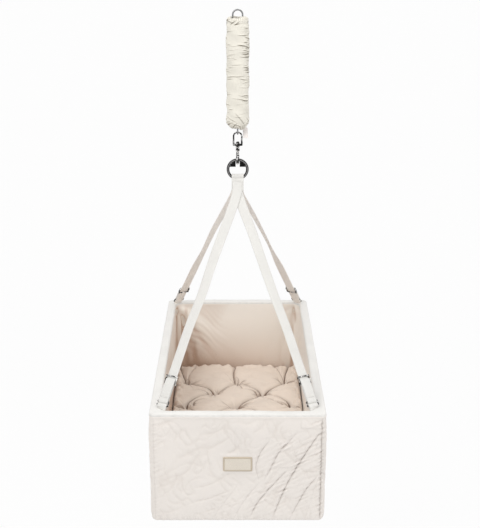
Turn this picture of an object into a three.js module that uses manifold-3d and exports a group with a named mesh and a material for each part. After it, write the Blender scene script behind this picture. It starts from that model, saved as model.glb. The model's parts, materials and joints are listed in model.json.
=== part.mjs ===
// A hanging baby cradle: a padded fabric box on four webbing straps, hung from a ring, a swivel
// snap hook and a coil spring inside a gathered cotton sleeve. Millimetres, +Z up. The origin is the
// point under the top hook's arch where the hook bears on whatever it hangs from, and the front of
// the box looks along -Y.
import * as THREE from 'three';
import { mergeVertices } from 'three/addons/utils/BufferGeometryUtils.js';
import Module from 'manifold-3d';

const wasm = await Module();
wasm.setup();

// Fits
const clearance = 0.3; // between two pieces that touch
const runningGap = 0.6; // between a piece and one that moves along or round it
const cutOverrun = 2; // how far a cutting tool runs past what it cuts

// Top hook and spring plugs
const hookWire = 4;
const topHookSpan = 24.5; // between the centres of the top hook's legs
const topPlugDrop = 24; // from the bearing point down to the top plug
const plugFlange = 4;
const plugBody = 20; // length of the plug screwed into the coil
const plugSocketDepth = 12;
const bottomHookSpan = 15;
const bottomHookLeg = 20.4;

// Coil spring
const springWire = 4.8;
const springDiameter = 34; // of the coil's centre line
const springPitch = 5.4;
const springTurns = 45;

// Safety cord
const cordDiameter = 6;
const cordWaveRadius = 7.5;
const cordWaves = 5;

// Sleeve
const sleeveDiameter = 57;
const sleeveTopRise = 8; // above the top plug
const sleeveOverhang = 13.6; // below the bottom plug
const sleeveBore = 43;
const sleeveMouth = 34; // bore of the gathered ends
const sleeveMouthLength = 7; // over which an end is drawn in
const sleeveEndDiameter = 46;
const sleeveRuffle = 2.6; // depth of the gathers
const sleeveRows = 62;
const sleeveSides = 14;
const sleeveDrift = 1.7; // turn of the wandering from one ring to the next, in radians
const tagWidth = 14;
const tagLength = 24;
const tagThickness = 0.8;

// Swivel bow and pin
const bowWire = 4;
const bowSpan = 21; // between the centres of the bow's legs
const bowLeg = 19.5;
const bowBase = 5;
const bowBaseDepth = 8;
const bossDiameter = 10;
const bossHeight = 11;
const pinDiameter = 5;
const pinHeadDiameter = 8.5;
const pinHeadHeight = 3;

// Snap hook
const snapWire = 8;
const snapThroat = 12.5; // clear width inside the hook
const collarLength = 10;
const collarDiameter = 10;
const snapBearingDrop = 37.5; // from the collar's top to the hook's bearing point
const headDepth = 17;
const headFrontShare = 0.6; // of the head's depth that lies in front of the swivel's axis
const headJoinShare = 0.6; // of the bend's radius at which the hook's back meets the head
const headHeight = 8;
const noseHeight = 9.5; // straight length of the nose above the bend
const gateThickness = 4;
const gateWidth = 4.4;
const gatePinDiameter = 2.4;
const gatePinInset = 5; // from the head's front
const gateSlotRoom = 2.4; // behind the gate, so that it can swing in
const leafThickness = 0.6;
const leafWidth = 3;
const leafTopShare = 1 / 3; // of the head's height, down to the leaf's upper end
const leafTipShare = 1.5; // of the head's height, down to its lower end

// Ring and its centring wedges
const ringWire = 7.5;
const ringDiameter = 57; // outside
const wedgeThickness = 3;
const wedgeNotch = 10.4;
const wedgeFloorLift = 6.5; // flat lower edge above the ring's centre

// Webbing
const webWidth = 25;
const webThickness = 1.4;
const loopWidth = 31;
const loopThickness = 2.2;
const loopLeg = 36;
const strapStart = 12; // from the ring's wire to a strap's upper end
const strapRise = 476; // from the ring's lower wire down to the rim
const anchorInsetAcross = 29; // anchor bar in from the box's side
const anchorInsetAlong = 31; // and in from its end
const anchorLift = 6; // anchor bar above the rim
const twistStart = 210; // up from the anchor ring, where the strap starts to twist
const twistEnd = 560;

// Buckles
const barDiameter = 3; // wire of the anchor rings
const anchorRingWidth = 33; // outside
const anchorRingCorner = 2.5; // of the wire's centre line
const anchorRingHeight = 15;
const sliderBar = 2.4;
const sliderLength = 22;
const sliderSide = 2.4;
const sliderPlace = 54; // from the anchor ring's upper bar up to the slider's middle
const returnTail = 8;
const tabTail = 36; // hidden length of the corner tab below the rim

// Box
const cradleWidth = 420;
const cradleLength = 800;
const cradleHeight = 292;
const coverThickness = 4;
const boardThickness = 12;
const linerThickness = 2;
const linerStandoff = 3.4; // room between the boards and the liner
const coverCorner = 12; // outer corner radius
const linerCorner = 30; // inner corner radius
const rimHeight = 8;
const rimInnerFall = 4; // how much lower the rim's inner edge is than its crown
const rimOuterFall = 3;
const rimRunShares = [0, 0.06, 0.3, 0.55, 0.85, 1]; // of the way from the outer edge to the inner one
const rimRiseShares = [0, 0.6, 0.93, 1, 0.8, 0.35]; // of the fall, at those places
const patchWidth = 70;
const patchHeight = 37.5;
const patchThickness = 1.2;
const patchCorner = 3;
const patchDrop = 132; // from the rim to the patch's middle

// Mattress
const mattressGap = 3; // to the liner all round
const mattressThickness = 69;
const mattressCorner = 46;
const mattressEdge = 40; // height of the drawn-in side seam's band
const tuftDepth = 16;
const tuftReach = 30;
const tuftColumnPitch = 145;
const tuftRowPitch = 82.5;
const tuftRows = 9;
const crownAcrossPower = 8; // the higher, the flatter the crown up to its edges
const crownAlongPower = 12;

// How finely round shapes are cut
const wireSides = 10;
const bendSteps = 10;
const cornerSteps = 6;
const curlSteps = 8;
const curlSides = 5;
const foldSteps = 4;
const wireCornerSteps = 3;
const twistSteps = 8;
const padColumns = 14;
const padRows = 34;
const settleRounds = 4; // after which a strap's slant no longer changes

const X = new THREE.Vector3(1, 0, 0);
const Y = new THREE.Vector3(0, 1, 0);
const Z = new THREE.Vector3(0, 0, 1);
const at = (x, y, z) => new THREE.Vector3(x, y, z);
const along = (start, ...steps) => {
  // start plus each direction times its distance
  const point = start.clone();
  for (const [direction, distance] of steps) point.addScaledVector(direction, distance);
  return point;
};

// Places down the hanging chain
const topPlugZ = -topPlugDrop;
const coilTop = topPlugZ - plugFlange - clearance - springWire / 2;
const coilBottom = coilTop - springTurns * springPitch;
const bottomPlugZ = coilBottom - springWire / 2 - clearance; // top of the bottom plug's flange
const sleeveTopDrop = topPlugDrop - sleeveTopRise;
const sleeveLength = plugFlange + sleeveOverhang - bottomPlugZ - sleeveTopDrop;
const bottomHookCentre = bottomPlugZ - plugFlange - bottomHookLeg;
const bottomHookBearing = bottomHookCentre - bottomHookSpan / 2 + hookWire / 2;
const bowTop = bottomHookBearing + clearance + bowWire / 2; // centre of the bow's upper wire
const bowCentre = bowTop - bowSpan / 2;
const bowBaseZ = bowCentre - bowLeg; // top of the bow's base
const bossTop = bowBaseZ + (bossHeight - bowBase) / 2;
const bossBottom = bossTop - bossHeight;
const collarTop = bossBottom - clearance;
const snapRadius = (snapThroat + snapWire) / 2;
const snapBearing = collarTop - snapBearingDrop; // inside of the hook's bend
const snapCentre = snapBearing + snapThroat / 2;
const snapBottomWire = snapCentre - snapRadius;
const ringRadius = (ringDiameter - ringWire) / 2;
const ringCentre = snapBearing + clearance - ringRadius + ringWire / 2;
const ringBottom = ringCentre - ringRadius; // centre of the ring's lower wire
const rimZ = ringBottom - strapRise;
const floorZ = rimZ - cradleHeight;

// Sizes of the box
const wallThickness = coverThickness + clearance + boardThickness + linerStandoff + linerThickness;
const innerWidth = cradleWidth - 2 * wallThickness;
const innerLength = cradleLength - 2 * wallThickness;
const boardInset = coverThickness + clearance;
const anchorHalfWidth = cradleWidth / 2 - anchorInsetAcross;
const anchorHalfLength = cradleLength / 2 - anchorInsetAlong;
const wallTop = rimZ - rimHeight - clearance;
const baseBoardZ = floorZ + coverThickness + clearance;
const baseTop = baseBoardZ + boardThickness;
const linerFloor = baseTop + clearance;
const padBottom = linerFloor + linerThickness + clearance;

// Surfaces and solids

function outward(geometry) {
  // turns every face round if the closed mesh is inside out
  const place = geometry.attributes.position;
  const index = geometry.index.array;
  const [a, b, c] = [at(0, 0, 0), at(0, 0, 0), at(0, 0, 0)];
  let volume = 0;
  for (let i = 0; i < index.length; i += 3) {
    a.fromBufferAttribute(place, index[i]);
    b.fromBufferAttribute(place, index[i + 1]);
    c.fromBufferAttribute(place, index[i + 2]);
    volume += a.dot(b.cross(c));
  }
  if (volume < 0) {
    for (let i = 0; i < index.length; i += 3) {
      [index[i + 1], index[i + 2]] = [index[i + 2], index[i + 1]];
    }
  }
  return geometry;
}

function sweep(sections, closed = false) {
  // joins like sections, each a ring of points, into one solid, with flat ends unless it is closed
  const sides = sections[0].length;
  const points = sections.flat().flatMap((p) => [p.x, p.y, p.z]);
  const faces = [];
  const spans = closed ? sections.length : sections.length - 1;
  for (let i = 0; i < spans; i++) {
    const near = i * sides;
    const far = ((i + 1) % sections.length) * sides;
    for (let j = 0; j < sides; j++) {
      const next = (j + 1) % sides;
      faces.push(near + j, far + j, far + next, near + j, far + next, near + next);
    }
  }
  if (!closed) {
    const last = (sections.length - 1) * sides;
    for (let j = 1; j < sides - 1; j++) {
      faces.push(0, j, j + 1, last, last + j + 1, last + j);
    }
  }
  const geometry = new THREE.BufferGeometry();
  geometry.setAttribute('position', new THREE.Float32BufferAttribute(points, 3));
  geometry.setIndex(faces);
  return outward(geometry);
}

function ribbon(stations, width, thickness) {
  // a flat band through stations of a middle point, the way its width runs and the way it faces
  return sweep(stations.map(({ middle, across, facing }) => [
    along(middle, [across, width / 2], [facing, thickness / 2]),
    along(middle, [across, width / 2], [facing, -thickness / 2]),
    along(middle, [across, -width / 2], [facing, -thickness / 2]),
    along(middle, [across, -width / 2], [facing, thickness / 2]),
  ]));
}

function wire(points, diameter, steps) {
  // a round wire along a smooth curve through the points
  const path = new THREE.CatmullRomCurve3(points, false, 'centripetal');
  return wireAlong(path, diameter, steps);
}

function wireAlong(path, diameter, steps) {
  const section = new THREE.Shape();
  section.absarc(0, 0, diameter / 2, 0, 2 * Math.PI);
  return new THREE.ExtrudeGeometry(section, {
    steps,
    extrudePath: path,
    curveSegments: wireSides / 2,
  });
}

function arch(centre, across, up, radius, leg) {
  // points of a U: a leg, half a circle over the top and the other leg
  const points = [along(centre, [across, -radius], [up, -leg])];
  points.push(along(centre, [across, -radius], [up, -leg / 2]));
  for (let i = 0; i <= bendSteps; i++) {
    const angle = Math.PI - (Math.PI * i) / bendSteps;
    points.push(along(centre, [across, radius * Math.cos(angle)], [up, radius * Math.sin(angle)]));
  }
  points.push(along(centre, [across, radius], [up, -leg / 2]));
  points.push(along(centre, [across, radius], [up, -leg]));
  return points;
}

function block(width, depth, height, centre) {
  const geometry = new THREE.BoxGeometry(width, depth, height);
  geometry.translate(centre.x, centre.y, centre.z);
  return geometry;
}

function rod(diameter, start, end, sides = 2 * wireSides) {
  const way = end.clone().sub(start);
  const geometry = new THREE.CylinderGeometry(diameter / 2, diameter / 2, way.length(), sides);
  geometry.applyQuaternion(new THREE.Quaternion().setFromUnitVectors(Y, way.clone().normalize()));
  const middle = start.clone().add(end).multiplyScalar(1 / 2);
  geometry.translate(middle.x, middle.y, middle.z);
  return geometry;
}

function roundedPlan(width, length, radius) {
  const [right, back] = [width / 2, length / 2];
  const plan = new THREE.Shape();
  plan.moveTo(right, radius - back);
  plan.absarc(right - radius, back - radius, radius, 0, Math.PI / 2);
  plan.absarc(radius - right, back - radius, radius, Math.PI / 2, Math.PI);
  plan.absarc(radius - right, radius - back, radius, Math.PI, 1.5 * Math.PI);
  plan.absarc(right - radius, radius - back, radius, 1.5 * Math.PI, 2 * Math.PI);
  return plan;
}

function roundedBlock(width, length, radius, bottom, top) {
  const geometry = new THREE.ExtrudeGeometry(roundedPlan(width, length, radius), {
    depth: top - bottom,
    bevelEnabled: false,
    curveSegments: cornerSteps,
  });
  geometry.translate(0, 0, bottom);
  return geometry;
}

function solid(geometry) {
  const bare = geometry.clone();
  bare.deleteAttribute('normal');
  bare.deleteAttribute('uv');
  const welded = mergeVertices(bare);
  return new wasm.Manifold(new wasm.Mesh({
    numProp: 3,
    vertProperties: new Float32Array(welded.attributes.position.array),
    triVerts: new Uint32Array(welded.index.array),
  }));
}

function surface(body) {
  const { vertProperties, triVerts } = body.getMesh();
  const geometry = new THREE.BufferGeometry();
  geometry.setAttribute('position', new THREE.Float32BufferAttribute(vertProperties, 3));
  geometry.setIndex([...triVerts]);
  return geometry;
}

const joined = (...parts) => surface(parts.map(solid).reduce((all, part) => all.add(part)));
const cut = (body, ...tools) => (
  surface(tools.map(solid).reduce((left, tool) => left.subtract(tool), solid(body)))
);

// Finishes: colour, roughness, metalness
const finishes = {
  steel: ['#a9adb2', 0.3, 1],
  nickel: ['#6f7175', 0.32, 1],
  blackened: ['#3c3c3f', 0.45, 0.9],
  spring: ['#8d9196', 0.35, 1],
  cord: ['#e9e5dc', 0.9, 0],
  ruched: ['#ebe5d9', 0.92, 0],
  tag: ['#e6ddcd', 0.9, 0],
  webbing: ['#f0ece3', 0.85, 0],
  cover: ['#ece5dd', 0.9, 0],
  rim: ['#f4f1ec', 0.9, 0],
  liner: ['#dccbb6', 0.9, 0],
  pad: ['#e0d0bf', 0.9, 0],
  patch: ['#cdbfa9', 0.8, 0],
  board: ['#c9b08a', 0.8, 0],
};

const cradle = new THREE.Group();

function add(name, finish, geometry) {
  const [color, roughness, metalness] = finishes[finish];
  const material = new THREE.MeshStandardMaterial({ color, roughness, metalness });
  const mesh = new THREE.Mesh(geometry, material);
  mesh.name = name;
  cradle.add(mesh);
}

// Spring and its sleeve

function plug(top, side) {
  // the flange, and the stem screwed into the coil on the given side, bored for the safety cord
  const stem = (springDiameter * Math.cos(Math.PI / curlSteps) - springWire) / 2 - runningGap;
  const flange = (springDiameter + springWire) / 2;
  const bore = cordDiameter / 2 + clearance;
  const near = side > 0 ? top - plugFlange : top;
  const bodyEnd = side > 0 ? near - plugBody : near + plugBody;
  const faceEnd = side > 0 ? top : top - plugFlange;
  const socketEnd = bodyEnd + side * plugSocketDepth;
  const lathe = new THREE.LatheGeometry([
    new THREE.Vector2(0, faceEnd),
    new THREE.Vector2(flange, faceEnd),
    new THREE.Vector2(flange, near),
    new THREE.Vector2(stem, near),
    new THREE.Vector2(stem, bodyEnd),
    new THREE.Vector2(bore, bodyEnd),
    new THREE.Vector2(bore, socketEnd),
    new THREE.Vector2(0, socketEnd),
  ], 2 * wireSides);
  lathe.rotateX(Math.PI / 2);
  const welded = mergeVertices(strip(lathe));
  return outward(welded);
}

function strip(geometry) {
  geometry.deleteAttribute('normal');
  geometry.deleteAttribute('uv');
  return geometry;
}

function topHook() {
  const radius = topHookSpan / 2;
  const centre = at(0, 0, hookWire / 2 - radius);
  const leg = centre.z - topPlugZ - clearance;
  return wire(arch(centre, X, Z, radius, leg), hookWire, 3 * bendSteps);
}

function bottomHook() {
  const centre = at(0, 0, bottomHookCentre);
  const leg = bottomPlugZ - plugFlange - bottomHookCentre - clearance;
  const down = Z.clone().negate();
  return wire(arch(centre, Y, down, bottomHookSpan / 2, leg), hookWire, 3 * bendSteps);
}

function coil() {
  // a helix of round wire; each end runs straight for one wire diameter
  const radius = springDiameter / 2;
  const points = [at(radius, -springWire, coilTop)];
  for (let i = 0; i <= springTurns * curlSteps; i++) {
    const angle = (2 * Math.PI * i) / curlSteps;
    const drop = (springPitch * i) / curlSteps;
    points.push(at(radius * Math.cos(angle), radius * Math.sin(angle), coilTop - drop));
  }
  points.push(at(radius, springWire, coilBottom));
  const sections = points.map((middle, i) => {
    const ahead = points[Math.min(i + 1, points.length - 1)];
    const behind = points[Math.max(i - 1, 0)];
    const way = ahead.clone().sub(behind).normalize();
    const out = at(middle.x, middle.y, 0).projectOnPlane(way).normalize();
    const up = way.clone().cross(out);
    return Array.from({ length: curlSides }, (_, j) => {
      const angle = (2 * Math.PI * j) / curlSides;
      const reach = springWire / 2;
      return along(middle, [out, reach * Math.cos(angle)], [up, reach * Math.sin(angle)]);
    });
  });
  reportGap(sections);
  return sweep(sections);
}

function reportGap(sections) {
  // the least distance between points of the coil that lie a turn or more apart
  let least = Infinity;
  for (let i = 0; i < sections.length; i++) {
    const farther = i + curlSteps - 1;
    for (let k = farther; k < Math.min(farther + curlSteps, sections.length); k++) {
      for (const p of sections[i]) {
        for (const q of sections[k]) least = Math.min(least, p.distanceTo(q));
      }
    }
  }
  console.log(`coil's least gap to itself: ${least.toFixed(2)} mm`);
}

function safetyCord() {
  // slack cord that lies in waves down the middle of the coil and goes taut at full stretch
  const top = topPlugZ - plugFlange - plugBody + plugSocketDepth - clearance;
  const bottom = bottomPlugZ + plugBody - plugSocketDepth + clearance;
  const waveTop = topPlugZ - plugFlange - plugBody - cordDiameter;
  const waveBottom = bottomPlugZ + plugBody + cordDiameter;
  const points = [at(0, 0, top), at(0, 0, waveTop)];
  const steps = cordWaves * curlSteps;
  const share = 1 / steps;
  for (let i = 1; i < steps; i++) {
    const swell = cordWaveRadius * Math.min(1, i * share * cordWaves, (steps - i) * share * cordWaves);
    const angle = (2 * Math.PI * i) / curlSteps;
    const z = waveTop + (waveBottom - waveTop) * i * share;
    points.push(at(swell * Math.cos(angle), swell * Math.sin(angle), z));
  }
  points.push(at(0, 0, waveBottom), at(0, 0, bottom));
  return wire(points, cordDiameter, 1.5 * steps);
}

function sleeve() {
  // gathered cotton tube: uneven rings of ruffles outside, a smooth bore, both mouths drawn in
  const mouthShare = sleeveMouthLength / sleeveLength;
  const bottom = -sleeveTopDrop - sleeveLength;
  const sections = [];
  const ring = (radiusAt, z) => Array.from({ length: sleeveSides }, (_, j) => {
    const angle = (2 * Math.PI * j) / sleeveSides;
    const radius = radiusAt(angle);
    return at(radius * Math.cos(angle), radius * Math.sin(angle), z);
  });
  for (let i = 0; i <= sleeveRows; i++) {
    const share = i / sleeveRows;
    const open = Math.min(1, share / mouthShare, (1 - share) / mouthShare);
    const full = sleeveEndDiameter + (sleeveDiameter - sleeveEndDiameter) * Math.sqrt(open);
    const ruffle = (angle) => {
      // every second ring is a valley, and the ridges between wander in and out round the tube
      if (i % 2 === 1) return full / 2 - sleeveRuffle;
      return full / 2 - (sleeveRuffle / 2) * (1 + Math.sin(2 * angle + sleeveDrift * i));
    };
    sections.push(ring(ruffle, bottom + sleeveLength * share));
  }
  for (const share of [1, 1 - mouthShare, mouthShare, 0]) {
    const bore = share === 1 || share === 0 ? sleeveMouth : sleeveBore;
    sections.push(ring(() => bore / 2, bottom + sleeveLength * share));
  }
  return sweep(sections, true);
}

function sleeveTag() {
  const top = -sleeveTopDrop - sleeveLength - clearance;
  const place = (sleeveMouth + sleeveEndDiameter) / 4;
  return block(tagWidth, tagThickness, tagLength, at(place, 0, top - tagLength / 2));
}

// Swivel, snap hook and ring

function bow() {
  const radius = bowSpan / 2;
  const centre = at(0, 0, bowCentre);
  const loop = wire(arch(centre, X, Z, radius, bowLeg + bowBase / 2), bowWire, 3 * bendSteps);
  const base = block(bowSpan + bowWire, bowBaseDepth, bowBase, at(0, 0, bowBaseZ - bowBase / 2));
  const boss = rod(bossDiameter, at(0, 0, bossBottom), at(0, 0, bossTop));
  const bore = rod(
    pinDiameter + 2 * clearance,
    at(0, 0, bossBottom - cutOverrun),
    at(0, 0, bossTop + cutOverrun),
  );
  return cut(joined(loop, base, boss), bore);
}

function swivelPin() {
  const headBottom = bossTop + clearance;
  const tip = collarTop - collarLength + clearance + cutOverrun;
  return joined(
    rod(pinDiameter, at(0, 0, tip), at(0, 0, headBottom + pinHeadHeight / 2)),
    rod(pinHeadDiameter, at(0, 0, headBottom), at(0, 0, headBottom + pinHeadHeight)),
  );
}

const headTop = collarTop - collarLength + cutOverrun;
const headFront = -headDepth * headFrontShare;
const gatePivot = at(0, headFront + gatePinInset, headTop - headHeight + gatePinInset / 2);
const noseTip = snapCentre + noseHeight;

function snapHook() {
  const down = Z.clone().negate();
  const bend = arch(at(0, 0, snapCentre), Y, down, snapRadius, 0);
  const spineTop = headTop - headHeight / 2;
  const path = [at(0, -snapRadius, noseTip), ...bend.slice(2, -2)];
  path.push(at(0, snapRadius, (snapCentre + spineTop) / 2));
  path.push(at(0, snapRadius * headJoinShare, spineTop));
  const body = wire(path, snapWire, 3 * bendSteps);
  const head = block(
    snapWire,
    headDepth,
    headHeight,
    at(0, headFront + headDepth / 2, headTop - headHeight / 2),
  );
  const collar = rod(collarDiameter, at(0, 0, collarTop - collarLength), at(0, 0, collarTop));
  const socket = rod(
    pinDiameter + 2 * clearance,
    at(0, 0, collarTop - collarLength + cutOverrun),
    at(0, 0, collarTop + cutOverrun),
  );
  const slotDepth = gatePinInset * 2 + gateSlotRoom;
  const slot = block(
    gateWidth + 2 * clearance,
    slotDepth + cutOverrun,
    headHeight,
    at(0, headFront + (slotDepth - cutOverrun) / 2, headTop - headHeight / 2 - cutOverrun),
  );
  const pinHole = rod(
    gatePinDiameter + 2 * clearance,
    along(gatePivot, [X, -snapWire]),
    along(gatePivot, [X, snapWire]),
  );
  return cut(joined(body, head, collar), socket, slot, pinHole);
}

function gate() {
  // a flat lever from its pin down to just inside the nose's tip
  const foot = at(0, -snapThroat / 2 + clearance + gateThickness / 2, noseTip - gateThickness / 2);
  const way = foot.clone().sub(gatePivot).normalize();
  const facing = way.clone().cross(X).normalize();
  const stations = [along(gatePivot, [way, -gatePinDiameter]), gatePivot, foot].map((middle) => (
    { middle, across: X, facing }
  ));
  const pinHole = rod(
    gatePinDiameter + 2 * clearance,
    along(gatePivot, [X, -snapWire]),
    along(gatePivot, [X, snapWire]),
  );
  return cut(ribbon(stations, gateWidth, gateThickness), pinHole);
}

function gateSpring() {
  // a bent leaf in the head's slot that presses on the gate's inner face
  const slotBack = headFront + gatePinInset * 2 + gateSlotRoom - clearance - leafThickness / 2;
  const gateBack = gatePivot.y + gateThickness / 2 + clearance + leafThickness;
  const stations = [
    { middle: at(0, slotBack, headTop - leafTopShare * headHeight), facing: Y },
    { middle: at(0, slotBack, headTop - headHeight), facing: Y },
    { middle: at(0, gateBack + leafThickness, headTop - leafTipShare * headHeight), facing: Y },
  ].map((station) => ({ ...station, across: X }));
  return ribbon(stations, leafWidth, leafThickness);
}

function gatePin() {
  return rod(
    gatePinDiameter,
    along(gatePivot, [X, -snapWire / 2]),
    along(gatePivot, [X, snapWire / 2]),
  );
}

function ring() {
  const geometry = new THREE.TorusGeometry(ringRadius, ringWire / 2, wireSides, 4 * wireSides);
  geometry.rotateX(Math.PI / 2);
  geometry.translate(0, 0, ringCentre);
  return geometry;
}

function wedge(side) {
  // fills the ring's upper inside on one side of the hook, with a flat lower edge
  const radius = ringRadius - ringWire / 2 - clearance;
  const floor = Math.asin(wedgeFloorLift / radius);
  const notch = Math.acos(wedgeNotch / 2 / radius);
  const outline = new THREE.Shape();
  outline.moveTo(wedgeNotch / 2, wedgeFloorLift);
  outline.absarc(0, 0, radius, floor, notch);
  const geometry = new THREE.ExtrudeGeometry(outline, {
    depth: wedgeThickness,
    bevelEnabled: false,
    curveSegments: bendSteps,
  });
  geometry.rotateX(Math.PI / 2);
  geometry.translate(0, wedgeThickness / 2, ringCentre);
  if (side < 0) geometry.rotateZ(Math.PI);
  return geometry;
}

// Straps and buckles

const wrapRadius = barDiameter / 2 + clearance + webThickness / 2;
const ringSpan = anchorRingHeight - barDiameter; // between the anchor ring's bars
const sliderLift = webThickness / 2 + clearance + sliderBar / 2; // slider's bars off the strap
const foldRadius = sliderBar / 2 + clearance + webThickness / 2;

function fan(side) {
  // the slanting plane that holds the two front straps (side -1) or the two rear ones (side 1)
  const drop = at(0, side * anchorHalfLength, rimZ + anchorLift - ringBottom);
  const shift = ringWire / 2 + loopThickness + 2 * clearance + webThickness / 2 + wrapRadius;
  let down = drop.clone().normalize();
  let facing = Z;
  for (let i = 0; i < settleRounds; i++) {
    facing = X.clone().cross(down).normalize();
    if (facing.z < 0) facing.negate();
    down = along(drop, [facing, -shift]).normalize();
  }
  return { down, facing };
}

function strapLine(sideX, sideY) {
  // the run of one strap: its anchor bar, its direction up to the ring, across it and off its face
  const { down, facing } = fan(sideY);
  const layer = sideX * sideY > 0 ? 1 : 0;
  const wrapOffset = ringWire / 2 + clearance + loopThickness;
  const offset = wrapOffset + (layer + 1) * (clearance + webThickness) - webThickness / 2;
  const top = along(at(0, 0, ringBottom), [facing, offset + layer * clearance], [down, strapStart]);
  const anchor = at(sideX * anchorHalfWidth, sideY * anchorHalfLength, rimZ + anchorLift);
  let up = top.clone().sub(anchor).normalize();
  let face = facing;
  let across = X;
  for (let i = 0; i < settleRounds; i++) {
    across = up.clone().cross(Z).normalize();
    if (across.x < 0) across.negate();
    face = across.clone().cross(up).normalize();
    if (face.z < 0) face.negate();
    up = along(top, [face, wrapRadius]).sub(anchor).normalize();
  }
  const bar = along(anchor, [up, ringSpan]); // the anchor ring's upper bar
  const foot = along(bar, [face, -wrapRadius]); // where the strap's run meets that bar
  const length = top.clone().sub(foot).dot(up);
  const topAcross = up.clone().cross(facing).normalize();
  if (topAcross.x < 0) topAcross.negate();
  const topFace = topAcross.clone().cross(up).normalize();
  if (topFace.z < 0) topFace.negate();
  return { anchor, up, across, face, bar, foot, length, topAcross, topFace };
}

function wrap(centre, from, over, radius, start, end, across, steps = bendSteps / 2) {
  // stations of a band bent round a bar, from the angle start to the angle end
  return Array.from({ length: steps + 1 }, (_, i) => {
    const angle = start + ((end - start) * i) / steps;
    const facing = at(0, 0, 0);
    facing.addScaledVector(from, Math.cos(angle)).addScaledVector(over, Math.sin(angle));
    return { middle: along(centre, [facing, radius]), across, facing };
  });
}

function strap(line) {
  // from its short return, round the anchor ring's upper bar and up to the hanging ring
  const { up, across, face, bar, foot, length, topAcross, topFace } = line;
  const down = up.clone().negate();
  const stations = [{ middle: along(bar, [face, wrapRadius], [up, returnTail]), across, facing: face }];
  stations.push(...wrap(bar, face, down, wrapRadius, 0, Math.PI, across));
  const inward = face.clone().negate();
  stations.push({ middle: along(foot, [up, twistStart]), across, facing: inward });
  for (let i = 1; i <= twistSteps; i++) {
    const share = i / twistSteps;
    const ease = share * share * (3 - 2 * share);
    const mixedAcross = across.clone().lerp(topAcross, ease).normalize();
    const mixedFace = face.clone().lerp(topFace, ease).normalize().negate();
    const run = twistStart + (twistEnd - twistStart) * share;
    stations.push({ middle: along(foot, [up, run]), across: mixedAcross, facing: mixedFace });
  }
  stations.push({
    middle: along(foot, [up, length]),
    across: topAcross,
    facing: topFace.clone().negate(),
  });
  return ribbon(stations, webWidth, webThickness);
}

function strapReturn({ up, across, face, bar, foot }) {
  // from above the anchor ring up the strap's outer face and over the slider's middle bar
  const centre = along(foot, [up, sliderPlace], [face, sliderLift]);
  const start = along(bar, [face, wrapRadius], [up, returnTail + clearance]);
  const stations = [{ middle: start, across, facing: face }];
  stations.push(...wrap(centre, face, up, foldRadius, 0, Math.PI / 2, across, foldSteps));
  return ribbon(stations, webWidth, webThickness);
}

function slider({ up, across, face, foot }) {
  // the lower bar on the strap's inner face, the other two on its outer face, and the side plates
  const centre = along(foot, [up, sliderPlace]);
  const reach = webWidth / 2 + runningGap;
  const end = (sliderLength - sliderBar) / 2;
  const bars = [[-end, -sliderLift], [0, sliderLift], [end, sliderLift]].map(([run, lift]) => rod(
    sliderBar,
    along(centre, [up, run], [face, lift], [across, -reach - sliderSide / 2]),
    along(centre, [up, run], [face, lift], [across, reach + sliderSide / 2]),
    wireSides,
  ));
  const sides = [-1, 1].map((side) => {
    const middle = along(centre, [across, side * (reach + sliderSide / 2)]);
    return ribbon([-1, 1].map((way) => (
      { middle: along(middle, [up, way * sliderLength / 2]), across, facing: face }
    )), sliderSide, 2 * sliderLift + sliderBar);
  });
  return joined(...bars, ...sides);
}

function anchorRing({ anchor, up, across, face }) {
  // a rectangular wire ring with rounded corners, in the plane of the strap
  const radius = anchorRingCorner;
  const halfWidth = (anchorRingWidth - barDiameter) / 2 - radius;
  const [low, high] = [radius, ringSpan - radius];
  const bends = [[halfWidth, high], [-halfWidth, high], [-halfWidth, low], [halfWidth, low]];
  const sections = [];
  for (const [quarter, [run, rise]] of bends.entries()) {
    for (let i = 0; i <= wireCornerSteps; i++) {
      const turn = (Math.PI / 2) * (quarter + i / wireCornerSteps);
      const out = at(0, 0, 0);
      out.addScaledVector(across, Math.cos(turn)).addScaledVector(up, Math.sin(turn));
      const middle = along(anchor, [across, run], [up, rise], [out, radius]);
      sections.push(Array.from({ length: wireSides }, (_, j) => {
        const angle = (2 * Math.PI * j) / wireSides;
        const reach = barDiameter / 2;
        return along(middle, [out, reach * Math.cos(angle)], [face, reach * Math.sin(angle)]);
      }));
    }
  }
  return sweep(sections, true);
}

function ringLoop() {
  // webbing over the ring's lower wire, with one leg under the front straps and one under the rear;
  // its top rests where the ring curves up through its edges, and each leg bends out below that
  const wireCentre = at(0, 0, ringBottom);
  const innerReach = ringRadius - ringWire / 2;
  const edgeRise = Math.sqrt(innerReach ** 2 - (loopWidth / 2) ** 2);
  const rest = at(0, 0, ringCentre - edgeRise - ringWire / 2);
  const radius = ringWire / 2 + clearance + loopThickness / 2;
  const leg = (side) => {
    const { down, facing } = fan(side);
    const start = along(wireCentre, [facing, radius]);
    const bendRun = (side * radius - start.y) / down.y; // to where the leg meets the upright part
    return [
      { middle: along(start, [down, loopLeg]), facing },
      { middle: along(start, [down, bendRun]), facing: along(facing, [Y, side]).normalize() },
    ];
  };
  const stations = [
    ...leg(-1),
    ...wrap(rest, Y, Z, radius, Math.PI, 0, X, bendSteps),
    ...leg(1).reverse(),
  ].map((station) => ({ ...station, across: X }));
  return ribbon(stations, loopWidth, loopThickness);
}

// Corner tabs

const corners = [[-1, -1], [1, -1], [-1, 1], [1, 1]];
const cornerX = innerWidth / 2 - linerCorner;
const cornerY = innerLength / 2 - linerCorner;
const tabReach = linerCorner + linerThickness + runningGap + webThickness + clearance; // from the arc

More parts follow.
